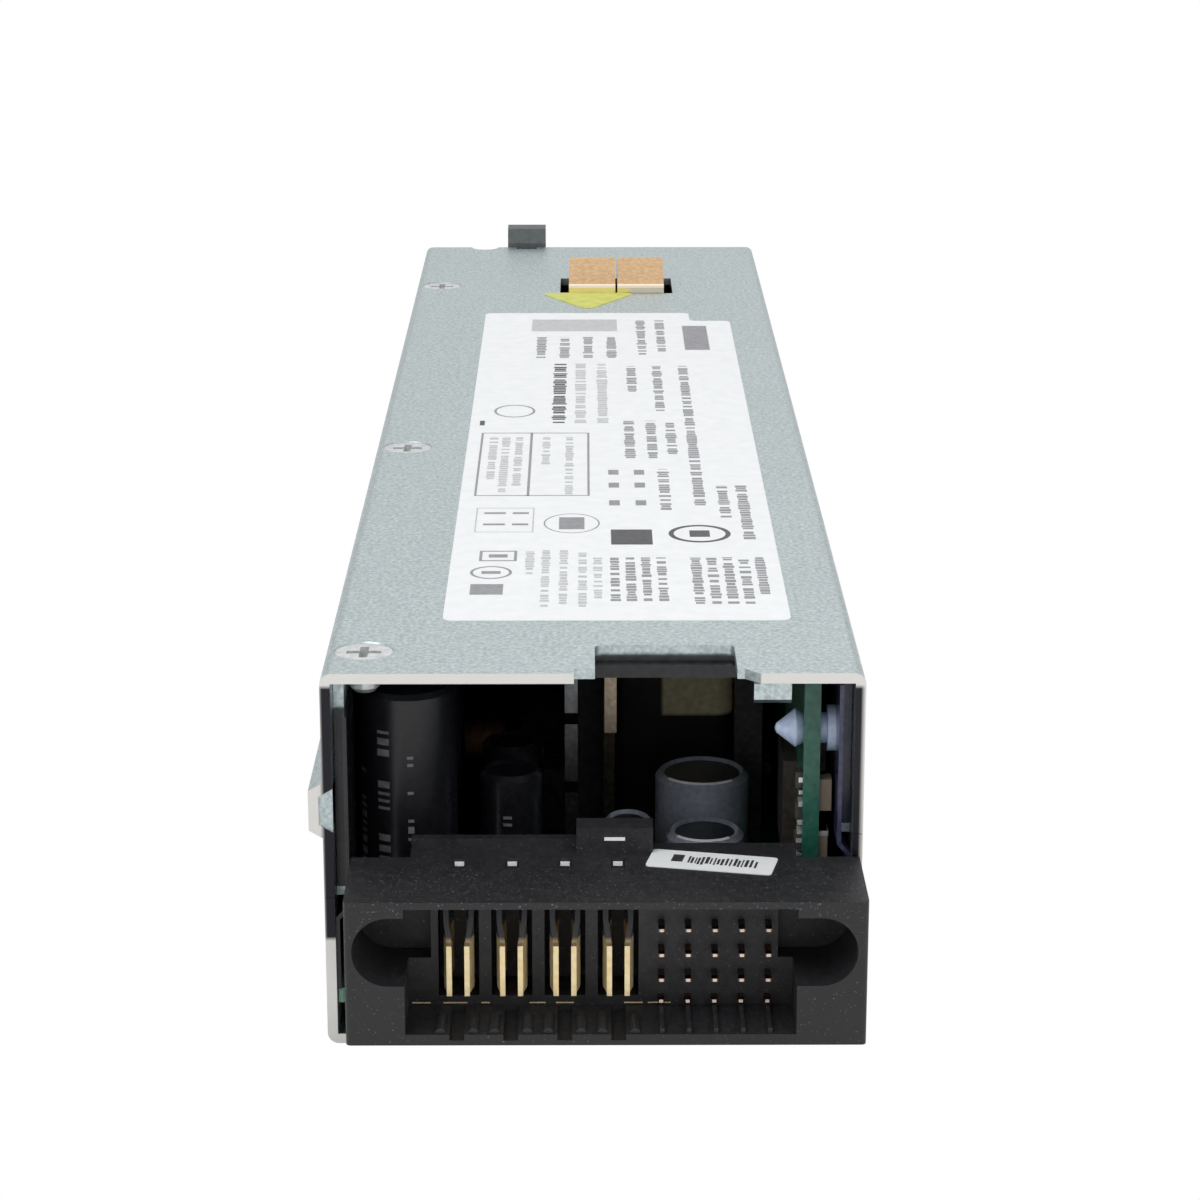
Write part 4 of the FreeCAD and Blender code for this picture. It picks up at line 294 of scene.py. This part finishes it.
INKS = [
    plastic("ink_dark", (0.03, 0.03, 0.035), (0.06, 0.06, 0.065), (0.4, 0.5)),
    plastic("ink_grey", (0.22, 0.22, 0.24), (0.3, 0.3, 0.32), (0.4, 0.5)),
    plastic("ink_pale", (0.45, 0.46, 0.47), (0.55, 0.56, 0.57), (0.4, 0.5)),
]
DARK, GREY, PALE = range(3)
SLEEVE_PRINT = plastic("sleeve_print", (0.11, 0.11, 0.12), (0.19, 0.19, 0.2), (0.4, 0.5))
# painted highlight: plain pale pink for the glints on the pins' ends
PIN_GLINT = metal("pin_glint", (0.95, 0.68, 0.56), (1.0, 0.84, 0.74), (0.3, 0.4), metallic=0.0)
SLEEVE_TOP = plastic("can_top", (0.01, 0.01, 0.014), (0.03, 0.03, 0.038), (0.3, 0.45))
# painted highlight: plain white for the glints on the can rims and the connector's strips
GLINT_WHITE = metal("glint_white", (0.88, 0.9, 0.96), (0.98, 0.98, 1.0), (0.2, 0.3), metallic=0.0)


def dress_connector():
    """Painted shade on the front face, and grains of filler all over, denser along the top front edge."""
    tree = SLOTS["connector_black"].node_tree
    ahead = opposite(tree, band(tree, "Y", COVER_FRONT - 3.0 * MM, soft=0.003))
    top_edge = both(tree, band(tree, "Z", 0.0178, soft=0.0016), ahead)
    shaded_front = opposite(tree, band(tree, "Y", CON_FRONT + 0.3 * MM, soft=0.0001))
    # painted shade: the front face is painted darker than the top, which gets more light
    overlay(SLOTS["connector_black"], shaded_front, (0.0095, 0.0095, 0.0105))
    specks(SLOTS["connector_black"], (0.14, 0.14, 0.15), scale=4200, amount=0.645, where=top_edge)
    specks(SLOTS["connector_black"], (0.1, 0.1, 0.11), scale=4200, amount=0.67)


def dress_winding():
    """Painted shade over the taped winding, except in the band where light falls on it."""
    tree = SLOTS["tape_yellow"].node_tree
    lit_band = both(tree, band(tree, "X", LIT_WINDING_X * MM), band(tree, "Z", LIT_WINDING_Z * MM))
    # painted shade: the tape is painted dark outside the lit band
    overlay(SLOTS["tape_yellow"], opposite(tree, lit_band), (0.012, 0.011, 0.01))


def dress_steel():
    """Painted light on the front cut edges, and painted shade on the walls' front edges inside the case."""
    tree = SLOTS["galvanised_steel"].node_tree
    cut_edge = opposite(tree, band(tree, "Y", COVER_FRONT + EDGE_DEEP * MM, soft=0.00005))
    right_of_left = band(tree, "X", MIDDLE_X - WALL_LEFT * MM)
    left_of_right = opposite(tree, band(tree, "X", MIDDLE_X + WALL_RIGHT * MM))
    below = opposite(tree, band(tree, "Z", (TOP_Z - EDGE_TOP) * MM))
    above = band(tree, "Z", EDGE_FOOT * MM)
    shaded_walls = both(tree, both(tree, both(tree, right_of_left, left_of_right), below), above)
    # painted light: the front cut edges are painted bright, as lit from the front
    overlay(SLOTS["galvanised_steel"], cut_edge, (0.74, 0.73, 0.7))
    # painted shade: the walls' front edges inside the case are painted dark
    overlay(SLOTS["galvanised_steel"], both(tree, cut_edge, shaded_walls), (0.03, 0.03, 0.035))


def dress_boards():
    """Painted light at the main board's left edge, tan parts on the upright board's right face."""
    tree = SLOTS["board_green"].node_tree
    lit_board = opposite(tree, band(tree, "X", MIDDLE_X - LIT_BOARD_X * MM))
    # painted light: the main board's left edge is painted a lighter green, where light falls on it
    overlay(SLOTS["board_green"], lit_board, (0.2, 0.42, 0.3))
    tree = SLOTS["chip_black"].node_tree
    overlay(SLOTS["chip_black"], band(tree, "X", MIDDLE_X + (RISER_X + 1.5) * MM), (0.2, 0.16, 0.12))


def dress_contacts():
    """Painted highlight on the grounding fingers' lips, plated inlet pins, painted shade on the tinned tops
    of the contact leaves.
    """
    tree = SLOTS["finger_copper"].node_tree
    lip_highlight = opposite(tree, band(tree, "Y", COVER_FRONT + LIP_Y * MM))
    # painted highlight: the fingers' front lip is painted pale cream
    overlay(SLOTS["finger_copper"], lip_highlight, (0.98, 0.84, 0.66))
    tree = SLOTS["pin_metal"].node_tree
    overlay(SLOTS["pin_metal"], band(tree, "Y", 0.0), (0.78, 0.77, 0.72))
    tree = SLOTS["contact_gold"].node_tree
    # painted shade: the tinned tops are painted dark grey
    overlay(SLOTS["contact_gold"], band(tree, "Z", TINNED_SHADE_Z * MM), (0.14, 0.14, 0.15))


def dress_frame():
    """Gives each CAD node the material of its slot in the record."""
    slot_of = {part["node"]: part["material_slot"] for part in frame["record"]["subparts"]}
    for name, obj in frame["nodes"].items():
        for index in range(len(obj.data.materials)):
            obj.data.materials[index] = SLOTS[slot_of[name]]


# ---------------------------------------------------------------- stickers
def on_cover(x, y, z):
    """Row-frame place of a point given from the cover's middle and front edge, in millimetres."""
    return (MIDDLE_X + x * MM, COVER_FRONT + y * MM, z * MM)


def rounded(corners, radius, steps=5):
    """Outline with its corners rounded off."""
    outline = []
    for i, corner in enumerate(corners):
        here = Vector(corner)
        before = (Vector(corners[i - 1]) - here).normalized() * radius
        after = (Vector(corners[(i + 1) % len(corners)]) - here).normalized() * radius
        for k in range(steps + 1):
            t = k / steps
            outline.append(here + before * (1 - t) ** 2 + after * t ** 2)
    return outline


def flat_piece(name, outlines, low, thick, materials, shades=None):
    """Thin plates, one per outline, joined in one mesh that rides on the case."""
    mesh = bpy.data.meshes.new(name)
    points, faces, inks = [], [], []
    for index, outline in enumerate(outlines):
        start, count = len(points), len(outline)
        for z in (low, low + thick):
            points += [on_cover(x, y, z) for x, y in outline]
        top = list(range(start + count, start + 2 * count))
        faces += [top, list(range(start, start + count))[::-1]]
        faces += [[start + k, start + (k + 1) % count, start + count + (k + 1) % count, start + count + k]
                  for k in range(count)]
        inks += [shades[index] if shades else 0] * (count + 2)
    mesh.from_pydata(points, [], faces)
    for material in materials:
        mesh.materials.append(material)
    for face, ink in zip(mesh.polygons, inks):
        face.material_index = ink
    piece = bpy.data.objects.new(name, mesh)
    bpy.context.collection.objects.link(piece)
    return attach(piece, "case")


def bar(x0, x1, y0, y1):
    """Outline of a rectangle whose sides run along the axes."""
    return [(x0, y0), (x1, y0), (x1, y1), (x0, y1)]


def dashes(x, y0, y1, tall, chance):
    """A line of greeked print that runs along the supply."""
    bars, y = [], y0
    while y < y1:
        long = chance.uniform(0.45, 0.95)
        half = tall / 2 * chance.uniform(0.7, 1.0)
        bars.append(bar(x - half, x + half, y, min(y + long, y1)))
        y += long + chance.choice((0.25, 0.3, 0.3, 1.1))
    return bars


def ring(x, y, half_x, half_y, line, count=40):
    """Ellipse outline made of short strokes."""
    strokes = []
    for k in range(count):
        corners = []
        for turn, shrink in ((k, 0), (k + 1, 0), (k + 1, line), (k, line)):
            angle = 2 * math.pi * turn / count
            out_x, out_y = half_x - shrink, half_y - shrink
            corners.append((x + out_x * math.cos(angle), y + out_y * math.sin(angle)))
        strokes.append(corners)
    return strokes


def frame_lines(x0, x1, y0, y1, line):
    return [bar(x0, x0 + line, y0, y1), bar(x1 - line, x1, y0, y1),
            bar(x0 + line, x1 - line, y0, y0 + line), bar(x0 + line, x1 - line, y1 - line, y1)]


def add_label():
    corners = [(LABEL_LEFT, LABEL_FRONT), (LABEL_RIGHT, LABEL_FRONT), (LABEL_RIGHT, LABEL_STEP_Y),
               (LABEL_STEP_X, LABEL_STEP_Y), (LABEL_STEP_X, LABEL_REAR), (LABEL_LEFT, LABEL_REAR)]
    flat_piece("rating_label", [rounded(corners, 1.2)], TOP_Z, STICKER_THICK, [PAPER])
    chance = random.Random(4)
    shapes = []

    def put(outlines, ink):
        shapes.extend((outline, ink) for outline in outlines)

    front_lines = [(-6.6, 34, 42.7), (-4.9, 22, 43.2), (-3.0, 23, 43.2), (-1.0, 22, 43.2), (0.6, 25, 40.3)]
    for x, y0, y1 in front_lines:
        put(dashes(x, y0, y1, 1.0, chance), PALE)
    for k in range(4):
        put(dashes(2.4 + 1.65 * k, 24, 40.3, 1.1, chance), GREY)
    for k in range(5):
        put(dashes(11.0 + 1.7 * k, 23 + 3.5 * (k == 4), 40.3, 1.2, chance), GREY)
    for x, y0, y1 in ((4.7, 84, 103), (7.4, 84, 103), (9.8, 86, 102), (12.3, 62, 134.7),
                      (5.4, 119.5, 134.7), (8.8, 108.5, 134.7), (8.4, 60, 78.6), (15.0, 56.7, 70.7),
                      (17.2, 47.6, 71.2), (7.1, 142, 165), (9.8, 144, 165)):
        put(dashes(x, y0, y1, 1.4, chance), GREY)
    put(dashes(-4.0, 102, 136.2, 1.9, chance), DARK)
    for x in (-1.3, 1.5):
        put(dashes(x, 102, 136.2, 1.5, chance), PALE)
    for k in range(4):
        put(dashes(-6.7 + 3.2 * k, 140, 153.4, 1.5, chance), GREY)
    put([bar(-8.2, 3.8, 157.5, 165.5)], PALE)
    put([bar(13.0, 16.4, 145, 161)], GREY)
    put(frame_lines(-13.4, -0.2, 66.3, 96.8, 0.25) + [bar(-7.4, -7.1, 66.3, 96.8)], GREY)
    for x, y0 in ((-11.8, 74), (-10.3, 68), (-8.7, 71), (-5.4, 81), (-2.6, 67)):
        put(dashes(x, y0, 94.5, 1.1, chance), PALE)
    put(frame_lines(-12.9, -6.4, 50.6, 60.9, 0.15), PALE)
    for y in (53.5, 58.3):
        put([bar(-12.0, -9.6, y, y + 0.7), bar(-8.8, -7.0, y, y + 0.7)], GREY)
    put(ring(-2.2, 54.3, 3.1, 4.1, 0.15) + [bar(-3.6, -0.8, 51.8, 56.8)], GREY)
    put([bar(2.1, 6.6, 45.5, 51.6)], DARK)
    put(ring(11.8, 49.9, 3.4, 3.6, 0.55) + [bar(10.7, 12.9, 48.6, 51.2)], DARK)
    put(frame_lines(-12.0, -8.0, 39.0, 43.0, 0.3) + [bar(-11.0, -9.0, 40.4, 41.6)], GREY)
    put(ring(-10.6, 34.6, 2.2, 2.4, 0.3) + [bar(-11.6, -9.6, 34.1, 35.1)], GREY)
    put([bar(-12.6, -9.2, 26.4, 30.2)], GREY)
    put(ring(-9.6, 108.5, 2.6, 3.4, 0.3), GREY)
    put([bar(-13.8, -13.2, 100.8, 103.2)], DARK)
    for y in (62, 70, 76):
        put([bar(2.0, 3.2, y, y + 2.2), bar(5.0, 6.2, y, y + 2.2)], GREY)
    outlines = [outline for outline, ink in shapes]
    inks = [ink for outline, ink in shapes]
    flat_piece("label_print", outlines, TOP_Z + STICKER_THICK, PRINT_THICK, INKS, inks)


def add_triangle():
    half = TRIANGLE_WIDE / 2
    corners = [(TRIANGLE_X, TRIANGLE_APEX - 1.5), (TRIANGLE_X + half, TRIANGLE_BASE),
               (TRIANGLE_X - half, TRIANGLE_BASE)]
    flat_piece("yellow_sticker", [rounded(corners, 2.4)], TOP_Z, STICKER_THICK, [YELLOW])


def add_connector_tag():
    cos, sin = math.cos(math.radians(TAG_TURN)), math.sin(math.radians(TAG_TURN))

    def placed(outline):
        return [(TAG_X + x * cos - y * sin, TAG_Y + x * sin + y * cos) for x, y in outline]

    half_long, half_wide = TAG_LONG / 2, TAG_WIDE / 2
    paper = rounded(bar(-half_long, half_long, -half_wide, half_wide), 0.5)
    flat_piece("connector_sticker", [placed(paper)], TAG_TOP, STICKER_THICK, [PAPER])
    chance = random.Random(7)
    marks, x = [bar(-3.9, -2.8, -0.6, 1.2)], -2.3
    while x < 4.4:
        wide = chance.uniform(0.12, 0.32)
        marks.append(bar(x, x + wide, -1.0 * chance.uniform(0.6, 1.0), 1.2 * chance.uniform(0.6, 1.0)))
        x += wide + chance.uniform(0.1, 0.25)
    flat_piece("connector_sticker_print", [placed(mark) for mark in marks], TAG_TOP + STICKER_THICK,
               PRINT_THICK, INKS, [DARK] * len(marks))


# ---------------------------------------------------------------- print on cans, ends of small parts
def curved_patch(x, y, radius, angle, wide, z0, z1, steps=3):
    """Points and faces of a thin patch wrapped on an upright can, angle 0 facing the front."""
    points, faces = [], []
    for out in (0.01, 0.03):
        for k in range(steps + 1):
            turn = angle + (k / steps - 0.5) * wide / radius
            side = x + (radius + out) * math.sin(turn)
            ahead = y - (radius + out) * math.cos(turn)
            points += [on_cover(side, ahead, z0), on_cover(side, ahead, z1)]
    row = 2 * (steps + 1)
    for k in range(steps):
        a = 2 * k
        faces += [[row + a, row + a + 2, row + a + 3, row + a + 1], [a, a + 1, a + 3, a + 2],
                  [a, a + 2, row + a + 2, row + a], [a + 1, row + a + 1, row + a + 3, a + 3]]
    last = row - 2
    faces += [[0, row, row + 1, 1], [last, last + 1, row + last + 1, row + last]]
    return points, faces


def block(x0, x1, y0, y1, z0, z1):
    """Points and faces of a box whose sides run along the axes."""
    points = [on_cover(x, y, z) for z in (z0, z1) for x, y in bar(x0, x1, y0, y1)]
    return points, [[0, 3, 2, 1], [4, 5, 6, 7], [0, 1, 5, 4], [1, 2, 6, 5], [2, 3, 7, 6], [3, 0, 4, 7]]


def join_pieces(name, pieces, material):
    """One mesh from several lots of points and faces, riding on the case."""
    mesh = bpy.data.meshes.new(name)
    points, faces = [], []
    for more_points, more_faces in pieces:
        faces += [[index + len(points) for index in face] for face in more_faces]
        points += more_points
    mesh.from_pydata(points, [], faces)
    mesh.materials.append(material)
    piece = bpy.data.objects.new(name, mesh)
    bpy.context.collection.objects.link(piece)
    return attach(piece, "case")


def add_can_print():
    """Greeked ratings that run up the sleeves."""
    chance = random.Random(11)
    patches = []
    tall_can, short_can = (CAN_X, CAN_Y, CAN_RADIUS), (SHORT_X, SHORT_Y, SHORT_RADIUS)
    columns = [(tall_can, -0.46, 1.3, 9.5, 30.5), (tall_can, -1.05, 0.9, 12.0, 27.0),
               (tall_can, 0.1, 0.6, 12.0, 27.0), (short_can, -0.1, 0.9, 18.0, 21.6)]
    for can, angle, wide, low, high in columns:
        z = low
        while z < high:
            tall = chance.choice((0.3, 0.3, 0.7))
            patches.append(curved_patch(*can, angle, wide, z, z + tall))
            z += tall + chance.choice((0.45, 0.45, 2.6))
    join_pieces("can_print", patches, SLEEVE_PRINT)


def turned(x, y, profile, start=0.0, sweep=2 * math.pi, steps=40):
    """Profile of (radius, height) points turned about an upright axis; angle 0 faces the front."""
    points, faces, count = [], [], len(profile)
    closed = sweep >= 2 * math.pi
    rows = steps if closed else steps + 1
    for k in range(rows):
        turn = start + sweep * k / steps
        points += [on_cover(x + r * math.sin(turn), y - r * math.cos(turn), z) for r, z in profile]
    for k in range(steps):
        for i in range(count):
            a, b = k * count, (k + 1) % rows * count
            faces.append([a + i, b + i, b + (i + 1) % count, a + (i + 1) % count])
    if not closed:
        faces += [list(range(count)), list(range(steps * count, rows * count))[::-1]]
    return points, faces


def add_can_tops():
    """Rolled rims on the low cans with a painted highlight along their front, and a dark stamped top inside
    each.
    """
    rims, glints, tops = [], [], []
    for x, y, radius, top in FILTER_CANS:
        middle, edge = radius - RIM_IN, radius - TOP_IN
        rims.append(turned(x, y, [(middle + 0.22, top - 0.02), (middle, top + 0.1),
                                  (middle - 0.22, top - 0.06), (middle, top - 0.16)]))
        # painted highlight: a bright arc on the front of each rim
        bright = [(middle + 0.3, top), (middle, top + 0.16), (middle - 0.3, top), (middle, top - 0.1)]
        glints.append(turned(x, y, bright, -0.95, 1.7, 16))
        high, low = top - TOP_DOWN, top - TOP_DOWN - 0.03
        tops.append(turned(x, y, [(edge, low), (edge, high), (0.05, high), (0.05, low)]))
    join_pieces("can_rims", rims, SLOTS["cap_can"])
    join_pieces("can_rim_glints", glints, GLINT_WHITE)
    join_pieces("can_tops", tops, SLEEVE_TOP)


def add_connector_glints():
    """Tinned strips on the raised block and in the four windows, painted bright as glints, and a painted
    reflection along the cavity's floor.
    """
    # painted highlight: the tinned strips are drawn in plain white
    strips = [block(*RAISED_STRIP)]
    for k in range(4):
        x = WINDOW_X + WINDOW_PITCH * k
        strips.append(block(x - STRIP_HALF, x + STRIP_HALF, *STRIP_Y, *STRIP_Z))
    join_pieces("tinned_strip_glints", strips, GLINT_WHITE)
    chance = random.Random(5)
    lines, x = [], FLOOR_GLINT_LEFT
    while x < FLOOR_GLINT_RIGHT - 0.9:
        long = chance.uniform(0.8, 2.4)
        if chance.random() < (0.8 if x < 0 else 0.3):
            lines.append(block(x, min(x + long, FLOOR_GLINT_RIGHT), *FLOOR_GLINT_Y, *FLOOR_GLINT_Z))
        x += long + chance.uniform(0.5, 1.4)
    # painted reflection: broken gold line along the foot of the cavity's back wall
    join_pieces("floor_glint_line", lines, SLOTS["contact_gold"])


def add_rail_end():
    """Plate that closes the front mouth of the keying rail."""
    join_pieces("rail_end", [block(*RAIL_END)], SLOTS["galvanised_steel"])


def add_pin_glints():
    """Painted glint on the end of each signal pin."""
    tip_glints = []
    for i in range(5):
        for j in range(4):
            x, z = PIN_X + PIN_PITCH * i, PIN_Z - PIN_PITCH * j
            y = PIN_TIP_Y + PIN_SHORT * (j == 3)
            tip_glints.append(block(x - TIP_HALF, x + TIP_HALF, y - 0.1, y, z - 0.13, z + 0.15))
    join_pieces("pin_glints", tip_glints, PIN_GLINT)


def add_solder():
    """Tinned ends of the small parts along the upright board's front edge."""
    chance = random.Random(9)
    ends, z = [], SOLDER_LOW
    while z < SOLDER_HIGH:
        tall = chance.uniform(0.2, 0.55)
        left = RISER_X - chance.uniform(0.35, 0.85)
        ends.append(block(left, RISER_X, RISER_Y - 0.05, RISER_Y + 1.45, z, z + tall))
        z += tall + chance.uniform(0.35, 1.5)
    for z in CHIP_ENDS:
        ends.append(block(RISER_X + 1.6, RISER_X + 2.55, 3.95, 6.25, z, z + 0.5))
    join_pieces("solder_ends", ends, SLOTS["screw_steel"])


# ---------------------------------------------------------------- floor, light, camera
def add_floor():
    bpy.ops.mesh.primitive_plane_add(size=8, location=(0, 0, -0.0002))
    floor = bpy.context.object
    floor.name = "floor"
    material, shader = new_material("floor_white", (0.9, 0.9, 0.9), 0.0, 0.9)
    tree = material.node_tree
    path = tree.nodes.new("ShaderNodeLightPath")
    glow = tree.nodes.new("ShaderNodeEmission")
    blend = tree.nodes.new("ShaderNodeMixShader")
    tree.links.new(path.outputs["Is Camera Ray"], blend.inputs["Fac"])
    tree.links.new(shader.outputs["BSDF"], blend.inputs[1])
    tree.links.new(glow.outputs["Emission"], blend.inputs[2])
    tree.links.new(blend.outputs["Shader"], tree.nodes["Material Output"].inputs["Surface"])
    floor.data.materials.append(material)


def add_light(name, place, size, power):
    lamp = bpy.data.lights.new(name, "AREA")
    lamp.size = size
    lamp.energy = power
    obj = bpy.data.objects.new(name, lamp)
    obj.location = place
    obj.rotation_euler = (-Vector(place)).to_track_quat("-Z", "Y").to_euler()
    bpy.context.collection.objects.link(obj)


def add_world():
    world = bpy.data.worlds.new("world")
    bpy.context.scene.world = world
    world.use_nodes = True
    world.node_tree.nodes["Background"].inputs["Color"].default_value = (1, 1, 1, 1)
    tree = world.node_tree
    path = tree.nodes.new("ShaderNodeLightPath")
    level = tree.nodes.new("ShaderNodeMapRange")
    level.inputs["To Min"].default_value = 0.72
    level.inputs["To Max"].default_value = 1.0
    tree.links.new(path.outputs["Is Camera Ray"], level.inputs["Value"])
    tree.links.new(level.outputs["Result"], tree.nodes["Background"].inputs["Strength"])


def add_camera():
    data = bpy.data.cameras.new("camera")
    data.lens = LENS
    data.sensor_width = 36
    camera = bpy.data.objects.new("camera", data)
    camera.location = (0, COVER_FRONT - CAMERA_BACK, CAMERA_HIGH)
    camera.rotation_euler = (math.radians(90 - CAMERA_PITCH), 0, math.radians(-CAMERA_YAW))
    bpy.context.collection.objects.link(camera)
    bpy.context.scene.camera = camera


dress_connector()
dress_winding()
dress_steel()
dress_boards()
dress_contacts()
dress_frame()
add_label()
add_triangle()
add_connector_tag()
add_can_print()
add_can_tops()
add_connector_glints()
add_rail_end()
add_pin_glints()
add_solder()
add_floor()
add_light("key", (-0.5, -0.5, 0.9), 0.6, 4.0)
add_light("fill", (0.7, -0.6, 0.6), 0.7, 2.2)
add_light("back", (0.1, 0.8, 0.8), 0.6, 0.8)
add_world()
add_camera()
bpy.context.scene.view_settings.view_transform = "Standard"
